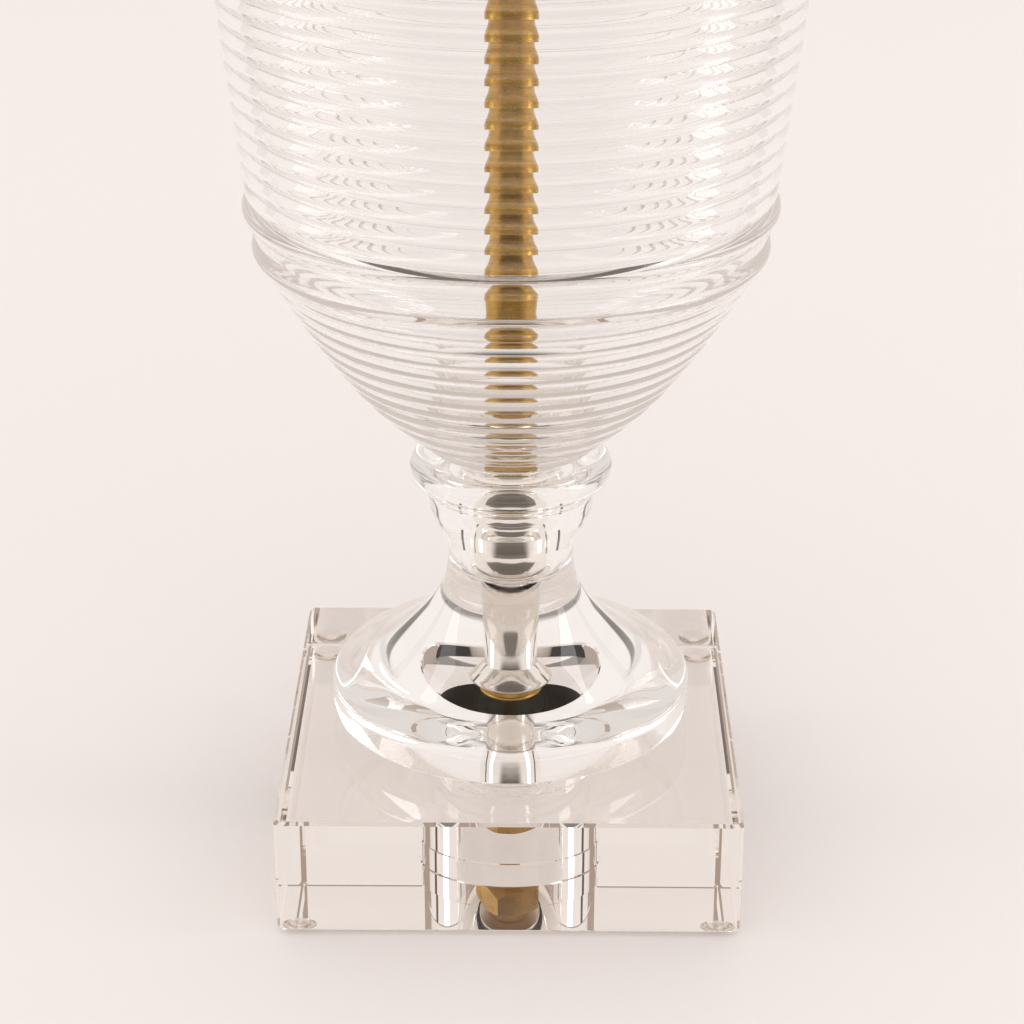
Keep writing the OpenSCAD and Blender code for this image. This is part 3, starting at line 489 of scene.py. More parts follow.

# %% [markdown]
# ## The studio
# The photograph has an even, slightly pink ground and very soft light. Clear glass would vanish in
# light that is the same from everywhere. So a tall bright panel stands on each side, and some parts
# of the room are dark, but only for mirrors and glass: the room behind the camera, the ceiling, a
# narrow flag on each side of the backdrop, and a card on the ground in front. They draw the edges
# of the glass and the dark middle of the nickel. The camera itself never sees them.
#
# The ground comes first. Where it is seen through glass it gets a share of plain glow, painted
# light in place of the light that real glass would focus there, which the renderer finds little of.
# Rays that have used up their bounces end on the same painted glow.

# %% Ground
DARK_CARD = (0.12, 0.10, 0.083)
THROUGH_GLASS_LIFT = 0.62
GROUND_RADIUS = 3.0
GROUND_CORNERS = 96
# The card's size and place in metres. A pair says where an edge starts and where it is complete.
CARD_HALF_WIDTH = 0.34
CARD_BLUR = 0.04
CARD_NEAR = (-0.085, -0.11)
CARD_FAR = (-0.46, -0.40)


def smooth_step(tree, value, low, high):
    """A node whose result rises smoothly from 0 to 1 as the value goes from low to high."""
    node = tree.nodes.new("ShaderNodeMapRange")
    node.interpolation_type = "SMOOTHSTEP"
    node.inputs["From Min"].default_value = low
    node.inputs["From Max"].default_value = high
    tree.links.new(value, node.inputs["Value"])
    return node.outputs["Result"]


def mixed(tree, factor, first, second):
    """A colour between two sockets or plain colours, by a factor socket."""
    node = tree.nodes.new("ShaderNodeMix")
    node.data_type = "RGBA"
    tree.links.new(factor, node.inputs["Factor"])
    for label, value in (("A", first), ("B", second)):
        if isinstance(value, tuple):
            node.inputs[label].default_value = (*value, 1)
        else:
            tree.links.new(value, node.inputs[label])
    return node.outputs["Result"]


def vector_part(tree, vector, label):
    """One part of a vector socket."""
    split = tree.nodes.new("ShaderNodeSeparateXYZ")
    tree.links.new(vector, split.inputs["Vector"])
    return split.outputs[label]


def ground():
    """A wide disc under the lamp, with a dark card that only mirrors see."""
    turn = np.linspace(0, 2 * math.pi, GROUND_CORNERS, endpoint=False)
    rim = GROUND_RADIUS * np.stack([np.cos(turn), np.sin(turn), 0 * turn], 1)
    mesh = bpy.data.meshes.new("ground")
    mesh.from_pydata(rim.tolist(), [], [list(range(GROUND_CORNERS))])
    disc = bpy.data.objects.new("ground", mesh)
    bpy.context.collection.objects.link(disc)
    material, shader = finish("ground", Roughness=0.7)
    tree = material.node_tree
    place = tree.nodes.new("ShaderNodeTexCoord").outputs["Object"]
    rays = tree.nodes.new("ShaderNodeLightPath")
    across = math_step(tree, "ABSOLUTE", vector_part(tree, place, "X"))
    beside = smooth_step(tree, across, CARD_HALF_WIDTH + CARD_BLUR, CARD_HALF_WIDTH - CARD_BLUR)
    forward = vector_part(tree, place, "Y")
    along = math_step(tree, "MULTIPLY", smooth_step(tree, forward, *CARD_NEAR),
                      smooth_step(tree, forward, *CARD_FAR))
    card = math_step(tree, "MULTIPLY", beside, along)
    mirrored = math_step(tree, "GREATER_THAN", rays.outputs["Glossy Depth"], 0.5)
    shown_card = math_step(tree, "MULTIPLY", card, mirrored)
    tree.links.new(mixed(tree, shown_card, GROUND_COLOUR, DARK_CARD), shader.inputs["Base Color"])
    # Painted light: rays that come through glass see a share of glow in the room's colour, except
    # on the card.
    bare = math_step(tree, "SUBTRACT", rays.outputs["Is Transmission Ray"], shown_card)
    lift = math_step(tree, "MULTIPLY", bare, THROUGH_GLASS_LIFT)
    lifted = shader_mix(tree, lift, shader.outputs["BSDF"], plain_glow(tree, ROOM_COLOUR))
    # Rays that have used up their bounces end on a painted glow of the room's colour.
    body = shader_mix(tree, past_last_bounce(tree, rays), lifted, plain_glow(tree, ROOM_COLOUR))
    tree.links.new(body, tree.nodes["Material Output"].inputs["Surface"])
    mesh.materials.append(material)
    return disc


ground()
print("ground colour:", GROUND_COLOUR)

# %% [markdown]
# ## The room and its lamps
# The world is the room. Dull surfaces see soft light from all round, stronger from the front, which
# makes up for the soft boxes of a photographer. Mirrors and glass see the pale room with its dark
# parts, each a smooth step on the direction in which a ray leaves.

# %% World and panels
LAMP_LIGHT = (0.845, 0.845, 0.845)
FRONT_LIGHT = (1.16, 1.17, 1.18)
# Places in the room, as the forward or upward share of a ray's direction.
FRONT = (0.1, -0.7)
BEHIND = (-0.50, -0.80)
BEHIND_TOP = (0.70, 0.40)
FLAG_START = (0.42, 0.45)
FLAG_END = (0.56, 0.53)
FLAG_TOP = (0.85, 0.70)
CEILING = (0.80, 0.88)
CEILING_SHADE = 0.85
# Panels in metres and watts.
PANEL_AIM = (0, 0, 0.25)
PANEL_WIDTH = 0.65
PANEL_HEIGHT = 2.4


def panel(name, place, power):
    """A tall rectangular lamp that looks at the lamp's body."""
    data = bpy.data.lights.new(name, "AREA")
    data.shape = "RECTANGLE"
    data.size, data.size_y = PANEL_WIDTH, PANEL_HEIGHT
    data.energy = power
    lamp = bpy.data.objects.new(name, data)
    lamp.location = place
    lamp.rotation_euler = (Vector(PANEL_AIM) - Vector(place)).to_track_quat("-Z", "Y").to_euler()
    bpy.context.collection.objects.link(lamp)
    return lamp


def studio_world():
    """Soft light for dull surfaces, stronger from the front, and dark parts for mirrors and glass.

    Mirrors and glass see the room's colour with a dark room low behind the camera, a dark flag on
    each side of the backdrop and a dark ceiling. The camera sees the ground's colour alone.
    """
    world = bpy.data.worlds.new("studio")
    bpy.context.scene.world = world
    world.use_nodes = True
    tree = world.node_tree
    direction = tree.nodes.new("ShaderNodeTexCoord").outputs["Generated"]
    forward = vector_part(tree, direction, "Y")
    upward = vector_part(tree, direction, "Z")
    behind = math_step(tree, "MULTIPLY", smooth_step(tree, forward, *BEHIND),
                       smooth_step(tree, upward, *BEHIND_TOP))
    flags = math_step(tree, "MULTIPLY", smooth_step(tree, forward, *FLAG_START),
                      smooth_step(tree, forward, *FLAG_END))
    flags = math_step(tree, "MULTIPLY", flags, smooth_step(tree, upward, *FLAG_TOP))
    ceiling = math_step(tree, "MULTIPLY", smooth_step(tree, upward, *CEILING), CEILING_SHADE)
    dark = math_step(tree, "MAXIMUM", math_step(tree, "MAXIMUM", behind, flags), ceiling)
    room = mixed(tree, dark, ROOM_COLOUR, DARK_CARD)
    rays = tree.nodes.new("ShaderNodeLightPath")
    seen = math_step(tree, "MAXIMUM", rays.outputs["Is Glossy Ray"],
                     rays.outputs["Is Transmission Ray"])
    soft = mixed(tree, smooth_step(tree, forward, *FRONT), LAMP_LIGHT, FRONT_LIGHT)
    lit = mixed(tree, seen, soft, room)
    shown = mixed(tree, rays.outputs["Is Camera Ray"], lit, GROUND_COLOUR)
    tree.links.new(shown, tree.nodes["Background"].inputs["Color"])
    tree.nodes["Background"].inputs["Strength"].default_value = 1.0


studio_world()
panel("left_panel", (-2.4, 0.0, 1.5), 9.0)
panel("right_panel", (2.4, -0.2, 1.5), 15.0)
print("panels: %.2f x %.1f m" % (PANEL_WIDTH, PANEL_HEIGHT))

# %% [markdown]
# ## The glass block
# The base is a thick square block with a stepped bore cut up into it from below. It could be a cube
# with a boolean cut, but a boolean leaves long thin faces that spoil reflections in clear glass.
# Instead every level is a row of points in the same directions, some on a square and some on a
# circle, and the rows are joined in order: down the bore, up the sides and in over the top.

# %% Block
BLOCK_CHAMFER = 1.0
BORE_RADIUS = 30.4
BORE_MOUTH_RADIUS = 30.8
BORE_MOUTH_DEPTH = 8.5
BORE_DEPTH = 31.0
PIPE_HOLE_RADIUS = 6.0
BOSS_RADIUS = 23.2
BLOCK_HALF = reach("base_block")
BLOCK_BOTTOM = level("base_block", 0)
BLOCK_TOP = level("base_block", 1)
BORE_ROOF = BLOCK_BOTTOM + BORE_DEPTH
BLOCK_DIRECTIONS = 240


def square_distance(angles, half, cut):
    """How far a square with cut corners lies from the axis in each direction."""
    c, s = np.abs(np.cos(angles)), np.abs(np.sin(angles))
    return np.minimum(half / np.maximum(c, s), (2 * half - cut) / (c + s))


def block_mesh(replaced, material, joint_material):
    """Rows of points round the axis, joined down the bore, up the sides and in over the top."""
    low, high, c = BLOCK_BOTTOM, BLOCK_TOP, BLOCK_CHAMFER
    corners = [math.atan2(half - c, half) for half in (BLOCK_HALF, BLOCK_HALF - c)]
    quarter = np.arange(4) * math.pi / 2
    even = np.arange(BLOCK_DIRECTIONS) * 2 * math.pi / BLOCK_DIRECTIONS
    at_corners = [quarter + a for a in corners] + [quarter + math.pi / 2 - a for a in corners]
    angles = np.unique(np.round(np.concatenate([even] + at_corners), 9))
    mouth = low + BORE_MOUTH_DEPTH
    boss = ("circle", BOSS_RADIUS, high)
    rows = [("circle", reach("base_gasket"), BORE_ROOF),
            ("circle", BORE_RADIUS - 0.5, BORE_ROOF), ("circle", BORE_RADIUS, BORE_ROOF - 0.5),
            ("circle", BORE_RADIUS, mouth + 0.3), ("circle", BORE_MOUTH_RADIUS, mouth),
            ("circle", BORE_MOUTH_RADIUS, low + 0.4), ("circle", BORE_MOUTH_RADIUS + 0.4, low),
            ("square", BLOCK_HALF - c, low), ("square", BLOCK_HALF, low + c),
            ("square", BLOCK_HALF, high - c), ("square", BLOCK_HALF - c, high), boss,
            ("circle", PIPE_HOLE_RADIUS, high), ("circle", PIPE_HOLE_RADIUS, BORE_ROOF)]
    distance = [np.full(len(angles), size) if kind == "circle"
                else square_distance(angles, size, c) for kind, size, height in rows]
    r = np.array(distance) * MM
    z = np.array([height for kind, size, height in rows])[:, None] * MM * np.ones(len(angles))
    grid = np.stack([r * np.cos(angles), r * np.sin(angles), z], -1)
    faces = ring_faces(len(rows), len(angles), True)
    piece = piece_from("glass_block", grid.reshape(-1, 3), faces, material, "lamp",
                       replaced, 20)
    piece.data.materials.append(joint_material)
    slots = np.zeros((len(rows), len(angles)), int)
    slots[[rows.index(boss), len(rows) - 1]] = 1
    piece.data.polygons.foreach_set("material_index", slots.ravel())
    return piece


print("block: %.0f mm wide, %.1f mm high" % (2 * BLOCK_HALF, BLOCK_TOP - BLOCK_BOTTOM))

# %% [markdown]
# ## Glass fused to glass
# The pedestal stands on a small round boss that is fused to the block, so no air lies between them
# and light passes straight through. Two touching glass surfaces in a renderer would bend the light
# twice. So the two faces that meet get a clear joint material, which lets rays go on unchanged. The
# narrow bore gets it too: the nickel stem is glued in there with clear glue, and metal that touches
# the glass looks half as wide again, as a straw does in water.

# %% Fused joint
fused_joint = finish("fused_joint", Alpha=0.0, Roughness=0.0)[0]
glass_block = block_mesh(("base_block",), block_glass, fused_joint)
print("block:", len(glass_block.data.polygons), "faces")

# %% [markdown]
# ## The pedestal
# A solid turned foot: an upright rim with a rounded shoulder, a long sweep up to the waist, a small
# bead, and a knop that cups the urn. Cubic curves follow the photograph's outline. The bore is wide
# in the neck, where air lies round the sleeve, and narrow below, where the stem is glued in.

# %% Pedestal
FOOT_RADIUS = 61.5
FOOT_BOTTOM = BLOCK_TOP + 6.0
PEDESTAL_TOP = level("pedestal", 1)
CUP_BOTTOM = PEDESTAL_TOP - 4.5
STEM_BORE_RADIUS = 13.8
BORE_STEP = FOOT_BOTTOM + 49.4
COLLAR_TOP = level("foot_collar", 1)
CONE_TOP = COLLAR_TOP + 8.9
STEM_RADIUS = 6.35
FLANGE_RADIUS = 10.4
FLANGE_EDGE = 1.8
GLUE = 0.2


def pedestal_outline():
    """The foot's side from the boss up to the cup, as one closed outline with the bore."""
    z, top, bore, throat = FOOT_BOTTOM, PEDESTAL_TOP, STEM_BORE_RADIUS, STEM_RADIUS + GLUE
    shoulder = arc(FOOT_RADIUS - 4.5, z + 8, 4.5, 0, 60, 14)
    end = shoulder[-1]
    return joined(
        line((FLANGE_RADIUS + GLUE, BLOCK_TOP), (BOSS_RADIUS, BLOCK_TOP),
             (BOSS_RADIUS, z - 0.5), (BOSS_RADIUS + 0.5, z)),
        arc(FOOT_RADIUS - 0.7, z + 0.7, 0.7, -90, 0, 6),
        shoulder,
        curve(end, end + (-4.5, 2.6), (50, z + 15.2), (47, z + 17.6), 14),
        curve((47, z + 17.6), (38, z + 24.9), (24.5, z + 34.4), (22.2, z + 46.4), 36),
        curve((22.2, z + 46.4), (21.6, z + 49.4), (21.1, z + 52.4), (21.1, z + 56.4), 12),
        curve((21.1, z + 56.4), (21.1, z + 64.4), (27.2, z + 69.4), (27.4, z + 74.9), 24),
        curve((27.4, z + 74.9), (27.6, z + 77.4), (27.2, z + 78.4), (28.2, z + 79.9), 14),
        curve((28.2, z + 79.9), (29.6, z + 82.4), (33.4, z + 82.9), (33.6, z + 87.9), 20),
        arc(29.6, top - 4, 4, 0, 90, 16),
        curve((29.6, top), (26.6, top), (22, CUP_BOTTOM + 1.2), (19, CUP_BOTTOM), 12),
        line((bore + 0.5, CUP_BOTTOM), (bore, CUP_BOTTOM - 0.5)),
        curve((bore, BORE_STEP + 2.5), (bore, BORE_STEP + 0.8), (bore - 0.8, BORE_STEP),
              (bore - 2.2, BORE_STEP), 8),
        line((throat, BORE_STEP), (throat, CONE_TOP + GLUE),
             (FLANGE_RADIUS + GLUE, COLLAR_TOP + FLANGE_EDGE + GLUE)))


pedestal = turned("glass_pedestal", pedestal_outline(), pedestal_glass, "lamp",
                  ("pedestal",), 192)
pedestal.data.materials.append(fused_joint)
centres = np.empty(len(pedestal.data.polygons) * 3)
pedestal.data.polygons.foreach_get("center", centres)
centres = centres.reshape(-1, 3) / MM
outward, up = np.hypot(centres[:, 0], centres[:, 1]), centres[:, 2]
on_block = up < BLOCK_TOP + 0.01
glued = (outward < FLANGE_RADIUS + GLUE + 0.1) & (up < BORE_STEP - 0.01) & ~on_block
pedestal.data.polygons.foreach_set("material_index", (on_block | glued).astype(int))
print("pedestal: %d faces, %d fused, %d glued" % (len(centres), on_block.sum(), glued.sum()))

# %% [markdown]
# ## The urn
# The urn was blown into a ribbed mould: rounded ribs with sharp grooves, two heavier rings at the
# top of the bowl, and a smooth inside. The crest line is a cubic in height, and each rib drops from
# it by one minus the sine of its phase, square to the crest line.

# %% Urn
URN_SEAT = level("urn", 0)
URN_TOP = level("urn", 1)
URN_RADIUS = 95.0
SEAT_RADIUS = 17.0
RING_RADIUS = 85.4
RING_HEIGHT = 91.0
MOUTH_RADIUS = 30.0
MOUTH_HEIGHT = 12.0
WALL = 3.0
RIB_PITCH = 6.4
RIB_DEPTH = 1.3
RIB_SAMPLES = 10
BOWL_HEIGHT = RING_HEIGHT - 16
WALL_START = RING_HEIGHT + 4.2
SHOULDER_START = WALL_START + RIB_PITCH * round((URN_TOP - URN_SEAT - 82 - WALL_START) / RIB_PITCH)
SHOULDER_HEIGHT = URN_TOP - URN_SEAT - MOUTH_HEIGHT - 3 - SHOULDER_START
NECK_FOOT = MOUTH_RADIUS + 4


def bowl_crest(t):
    """Crest of the bowl: a cubic radius over an even height."""
    r = cubic(t, SEAT_RADIUS, SEAT_RADIUS + 36.5, RING_RADIUS - 19.7, RING_RADIUS - 4.6)
    return np.stack([r, t * BOWL_HEIGHT], 1)


def wall_crest(t):
    """Crest of the wall above the rings: it leans out slightly."""
    r = cubic(t, RING_RADIUS - 1.2, RING_RADIUS + 3.7, URN_RADIUS - 0.5, URN_RADIUS)
    return np.stack([r, WALL_START + t * (SHOULDER_START - WALL_START)], 1)


def shoulder_crest(t):
    """Crest of the shoulder: a quarter of an ellipse up to the neck."""
    a = t * math.pi / 2
    r = NECK_FOOT + (URN_RADIUS - NECK_FOOT) * np.cos(a)
    return np.stack([r, SHOULDER_START + SHOULDER_HEIGHT * np.sin(a)], 1)


def under(crest, t, depth):
    """Points a depth below a crest line, square to it."""
    along = crest(np.minimum(t + 1e-4, 1)) - crest(np.maximum(t - 1e-4, 0))
    along /= np.linalg.norm(along, axis=1)[:, None]
    return crest(t) + np.stack([-along[:, 1], along[:, 0]], 1) * np.reshape(depth, (-1, 1))


def ribbed(crest, ribs, start=1.0):
    """Rounded ribs with sharp grooves: depth times one minus the sine of the place in the rib.

    The depth grows from the start share of RIB_DEPTH to the whole of it.
    """
    t = np.linspace(0, 1, ribs * RIB_SAMPLES + 1)
    phase = (np.arange(len(t)) % RIB_SAMPLES) / RIB_SAMPLES
    depth = RIB_DEPTH * np.minimum(1, start + 1.6 * t)
    return under(crest, t, depth * (1 - np.sin(math.pi * phase)))


def urn_outline():
    """Bowl, rings, wall, shoulder and neck outside, and the smooth inside back down to the hole."""
    height = URN_TOP - URN_SEAT
    inset = WALL + RIB_DEPTH / 2
    bowl_ribs = round(BOWL_HEIGHT / (RIB_PITCH * 0.93))
    wall_ribs = round((SHOULDER_START - WALL_START) / RIB_PITCH)
    shoulder_ribs = round(math.pi / 4 * (URN_RADIUS - NECK_FOOT + SHOULDER_HEIGHT) / RIB_PITCH)
    inner = np.linspace(1, 0, 40)
    hole = reach("center_tube") + 0.8
    outside = joined(
        line((hole, 0), (SEAT_RADIUS - 1, 0), (SEAT_RADIUS, 0.6)),
        ribbed(bowl_crest, bowl_ribs, 0.25)[2:-2],
        arc(RING_RADIUS - 5.6, RING_HEIGHT - 12.5, 3, -65, 65, 14),
        line((RING_RADIUS - 3.4, RING_HEIGHT - 7.5), (RING_RADIUS - 3, RING_HEIGHT - 4)),
        arc(RING_RADIUS - 3, RING_HEIGHT + 0.6, 3, -65, 60, 14),
        ribbed(wall_crest, wall_ribs),
        ribbed(shoulder_crest, shoulder_ribs)[1:-1],
        line((MOUTH_RADIUS + 1, height - MOUTH_HEIGHT - 2), (MOUTH_RADIUS, height - MOUTH_HEIGHT)),
        arc(MOUTH_RADIUS - 1, height - 1, 1, 0, 90, 6),
        arc(MOUTH_RADIUS - WALL + 1, height - 1, 1, 90, 180, 6),
        line((MOUTH_RADIUS - WALL, height - MOUTH_HEIGHT - 4)))
    inside = joined(
        under(shoulder_crest, inner, inset)[1:],
        under(wall_crest, inner, inset)[1:],
        under(bowl_crest, inner[inner > 0.12], inset)[1:],
        line((hole, WALL + RIB_DEPTH)))
    return joined(outside, inside) + (0, URN_SEAT)


urn = turned("glass_urn", urn_outline(), urn_glass, "lamp", ("urn",), 152, 50)
print("urn: %d faces" % len(urn.data.polygons))

# %% [markdown]
# ## Clear pads
# Four soft domes lift the block off the table. Each is a cap of a ball, flattened where it stands.

# %% Pads
def pad(node):
    """A dome from its stand to its rim, moved to its corner of the block."""
    low, high = (np.array(corner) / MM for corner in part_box(node))
    radius, height, stand = (high[0] - low[0]) / 2, high[2] - low[2], 2.0
    centre = (radius ** 2 - stand ** 2 + height ** 2) / (2 * height)
    dome = math.hypot(stand, centre)
    start = -90 + math.degrees(math.atan(stand / centre))
    end = -90 + math.degrees(math.atan(radius / (centre - height)))
    roof = height + 0.02
    outline = joined(line((0, 0)), arc(0, centre, dome, start, end, 14),
                     line((radius, roof), (0, roof)))
    piece = turned("clear_" + node, outline, clear_rubber, "lamp", (node,), 48)
    middle = (low + high) / 2 * MM
    piece.data.transform(Matrix.Translation((middle[0], middle[1], 0)))
    return piece


for node in ("pad_front_left", "pad_front_right", "pad_back_left", "pad_back_right"):
    print(pad(node).name, "height %.1f mm" % (level(node, 1) - level(node, 0)))

# %% [markdown]
# ## The stem's metal
# A polished nickel sleeve fills the wide bore, and a narrow nickel stem with a flared flange goes
# on down to a brass collar on the block. An aged brass tube goes up through the urn. They are
# turned pieces with small rounded edges, because a perfectly sharp edge never catches the light.

# %% Sleeve, collar and tube
SLEEVE_FOOT = level("stem_sleeve", 0)
SLEEVE_TOP = level("stem_sleeve", 1)
SLEEVE_RADIUS = reach("stem_sleeve")
TUBE_RADIUS = reach("center_tube")
PIPE_RADIUS = reach("lamp_pipe")
PIPE_HOLE = PIPE_RADIUS + 0.05


def sleeve_outline():
    """A rounded foot, a plain length with a groove, and a domed top, round the pipe's hole."""
    r, groove = SLEEVE_RADIUS, SLEEVE_TOP - 17
    waist = r - 0.8
    return joined(
        line((PIPE_HOLE, SLEEVE_FOOT)),
        arc(r - 2, SLEEVE_FOOT + 2, 2, -90, 0, 8),
        line((r, groove - 2.4)),
        curve((r, groove - 2.4), (r, groove - 1.6), (waist, groove - 1.8), (waist, groove - 1), 5),
        curve((waist, groove), (waist, groove + 0.8), (r, groove + 0.4), (r, groove + 1.2), 5),
        arc(r - 4, SLEEVE_TOP - 4, 4, 0, 90, 14),
        line((PIPE_HOLE, SLEEVE_TOP)))


def stem_outline():
    """A thin flange that sweeps in to the narrow stem, which goes up straight to the sleeve."""
    z, r = COLLAR_TOP, FLANGE_RADIUS
    return joined(
        line((PIPE_HOLE, z)),
        arc(r - 0.8, z + 0.8, 0.8, -90, 0, 6),
        line((r, z + 1.3), (r - 0.3, z + FLANGE_EDGE)),
        curve((r - 0.3, z + FLANGE_EDGE), (r - 1.4, z + 3.4), (STEM_RADIUS + 0.9, CONE_TOP - 2.2),
              (STEM_RADIUS, CONE_TOP), 12),
        line((STEM_RADIUS, BORE_STEP), (PIPE_HOLE, BORE_STEP)))


turned("nickel_sleeve", sleeve_outline(), polished_nickel, "lamp", ("stem_sleeve",), 144)
turned("nickel_stem", stem_outline(), polished_nickel, "lamp", ("stem_foot",), 128)


def collar_outline():
    """A plain drum with two narrow rolled rims."""
    low, high, r = BLOCK_TOP + 0.03, COLLAR_TOP, reach("foot_collar")
    return joined(
        line((PIPE_HOLE, low), (r - 0.6, low)),
        arc(r - 0.6, low + 0.6, 0.6, -90, 60, 8),
        line((r - 0.6, low + 1.3), (r - 0.6, high - 1.3)),
        arc(r - 0.6, high - 0.6, 0.6, -60, 90, 8),
        line((PIPE_HOLE, high)))


turned("brass_collar", collar_outline(), antique_brass, "lamp",
       ("foot_collar",), 128)


def tube_outline():
    """The brass tube from the sleeve up to the urn's cap, with eased ends."""
    low, high = level("center_tube", 0), level("center_tube", 1)
    bore = TUBE_RADIUS - 1.2
    return rounded([(bore, low), (TUBE_RADIUS, low), (TUBE_RADIUS, high), (bore, high)], 0.3)


turned("brass_tube", tube_outline(), antique_brass, "lamp", ("center_tube",), 96)
print("sleeve from %.1f to %.1f mm" % (SLEEVE_FOOT, SLEEVE_TOP))

# %% [markdown]
# ## Fittings under the block
# A rubber gasket, a washer and a spacer sit on the pipe, and a nut pulls them up against the block.
# Each is a flat ring. Rubber that is pressed on glass wets it, so the gasket's top lies a hair
# inside the glass, and that part of the block's ceiling has the clear joint material as well.

# %% Fittings under the block
def ring_outline(node, ease, sunk=0.0):
    """A flat ring round the pipe with eased edges, from its node's size."""
    radius, low, high = reach(node), level(node, 0), level(node, 1) + sunk
    return rounded([(PIPE_HOLE, low), (radius, low), (radius, high), (PIPE_HOLE, high)], ease)


turned("black_gasket", ring_outline("base_gasket", 0.3, 0.05), black_rubber, "lamp",
       ("base_gasket",), 128)
turned("steel_washer", ring_outline("base_washer", 0.35), zinc_steel, "lamp",
       ("base_washer",), 128)
turned("brass_spacer", ring_outline("base_spacer", 0.5), antique_brass, "lamp",
       ("base_spacer",), 128)
print("washer: %.1f mm across" % (2 * reach("base_washer")))

# %% [markdown]
# ## Threads
# The threaded pipe ends in the open bore, where its thread can be seen through the glass. A thread
# is a turned surface whose radius also depends on the turn: it falls and rises once per pitch, and
# the wave shifts by one pitch for each turn. The same function makes the bulb's screw base.

# %% Thread helper
def threaded_rows(heights, radii, depth, pitch, first, last, segments):
    """Rows of a turned surface with a screw thread between two heights, as an array of points.

    r(a, h) = R(h) - depth * (1 - cos(2 pi (h / pitch - a / (2 pi)))) / 2, and the wave fades in
    and out over one pitch.
    """
    a = np.arange(segments) * 2 * math.pi / segments
    h, base = np.array(heights, float)[:, None], np.array(radii, float)[:, None]
    wave = (1 - np.cos(2 * math.pi * h / pitch - a[None, :])) / 2
    fade = np.clip((h - first) / pitch, 0, 1) * np.clip((last - h) / pitch, 0, 1)
    r = base - depth * wave * fade
    return np.stack([r * np.cos(a), r * np.sin(a), h + 0 * a[None, :]], -1) * MM


def pipe_piece():
    """The pipe: threaded at its foot, plain where it is hidden, and closed by its bore."""
    low, high = level("lamp_pipe", 0), level("lamp_pipe", 1)
    thread_end = level("base_nut", 0) + 3
    bore, radius, pitch, segments = 3.7, PIPE_RADIUS, 0.94, 72
    wall = np.concatenate([np.arange(low + 0.4, thread_end, pitch / 9), [thread_end, high - 0.4]])
    heights = np.concatenate([[low + 0.5, low, low], wall, [high, high, high - 0.5]])
    radii = np.concatenate([[bore, bore + 0.4, radius - 0.5], np.full(len(wall), radius),
                            [radius - 0.5, bore + 0.4, bore]])
    rows = threaded_rows(heights, radii, 0.55, pitch, low, thread_end, segments)
    faces = ring_faces(len(rows), segments, True)
    return piece_from("threaded_pipe", rows.reshape(-1, 3), faces, bright_brass, "lamp",
                      ("lamp_pipe",), 60)


pipe = pipe_piece()
print("pipe: %d faces" % len(pipe.data.polygons))

# %% [markdown]
# ## Cap and neck
# These and everything above them lie outside the photograph, so they follow what such lamps have: a
# spun brass cap over the urn's mouth, and a small turned neck that the cord would leave through.

# %% Cap and neck
def cap_outline():
    """A skirt with a rolled edge, a drum and a sweep up to the neck, hollow inside the skirt."""
    low, high, radius = level("urn_cap", 0), level("urn_cap", 1), reach("urn_cap")
    seat = level("cap_gasket", 1)
    inside = MOUTH_RADIUS + 1.2
    return joined(
        line((PIPE_HOLE, seat), (inside, seat), (inside, low + 0.6)),
        arc(inside + 0.6, low + 0.6, 0.6, 180, 270, 5),
        arc(radius - 0.9, low + 0.9, 0.9, -90, 0, 7),
        line((radius, low + 2.2), (radius - 0.45, low + 2.7),
             (radius, low + 3.2), (radius, seat + 3)),
        curve((radius, seat + 3), (radius - 4, seat + 7), (19, high - 6), (13, high), 24),
        line((PIPE_HOLE, high)))


def neck_outline():
    """Two thin discs with a ball between them, round the pipe."""
    low, high, ball = level("neck", 0), level("neck", 1), 10.5
    middle, throat = (low + high) / 2, 52
    return joined(
        line((PIPE_HOLE, low), (12.4, low)),
        arc(12.4, low + 0.6, 0.6, -90, 0, 5),
        arc(12.4, low + 1.4, 0.6, 0, 90, 5),
        line((ball * math.cos(math.radians(throat)) + 0.4, low + 2.3)),
        arc(0, middle, ball, -throat, throat, 40),
        line((11.4, high - 2)),
        arc(11.4, high - 1.4, 0.6, -90, 0, 5),
        arc(11.4, high - 0.6, 0.6, 0, 90, 5),
        line((PIPE_HOLE, high)))


turned("brass_cap", cap_outline(), bright_brass, "lamp", ("urn_cap",), 160)
turned("brass_neck", neck_outline(), bright_brass, "lamp", ("neck",), 128)
print("cap: %.0f mm across" % (2 * reach("urn_cap")))

# %% [markdown]
# ## The socket's cap
# The lower half of the socket's shell is spun from thin brass: a hub round the pipe and a bowl that
# opens to the shell's width. Its outline runs up the outside and back down the inside.

# %% Socket cap
SOCKET_RADIUS = reach("socket_cap")
SOCKET_FLOOR = level("socket_core", 0)


def socket_cap_outline():
    """A hub and a bowl that opens to the shell's width, with a thin wall."""
    low, high, hub = level("socket_cap", 0), level("socket_cap", 1), 8
    r, hub_top = SOCKET_RADIUS, low + 6
    return joined(
        line((PIPE_HOLE, low), (hub - 0.6, low)),
        arc(hub - 0.6, low + 0.6, 0.6, -90, 0, 5),
        line((hub, hub_top)),
        curve((hub, hub_top), (14, hub_top + 1), (r, hub_top + 3), (r, high), 24),
        line((r - 0.6, high)),
        curve((r - 0.6, high), (r - 1, hub_top + 4), (13, hub_top + 2), (7, SOCKET_FLOOR), 24),
        line((PIPE_HOLE, SOCKET_FLOOR)))


turned("socket_bowl", socket_cap_outline(), bright_brass, "lamp", ("socket_cap",), 128)
print("socket: %.1f mm across" % (2 * SOCKET_RADIUS))

# %% [markdown]
# ## The bulb
# The bulb has a rolled screw base and a frosted globe. The frost is on the inside of real bulbs,
# and a rough transmission gives the same soft look here. The globe is two surfaces, one inside the
# other, with the inner one turned to face inwards.

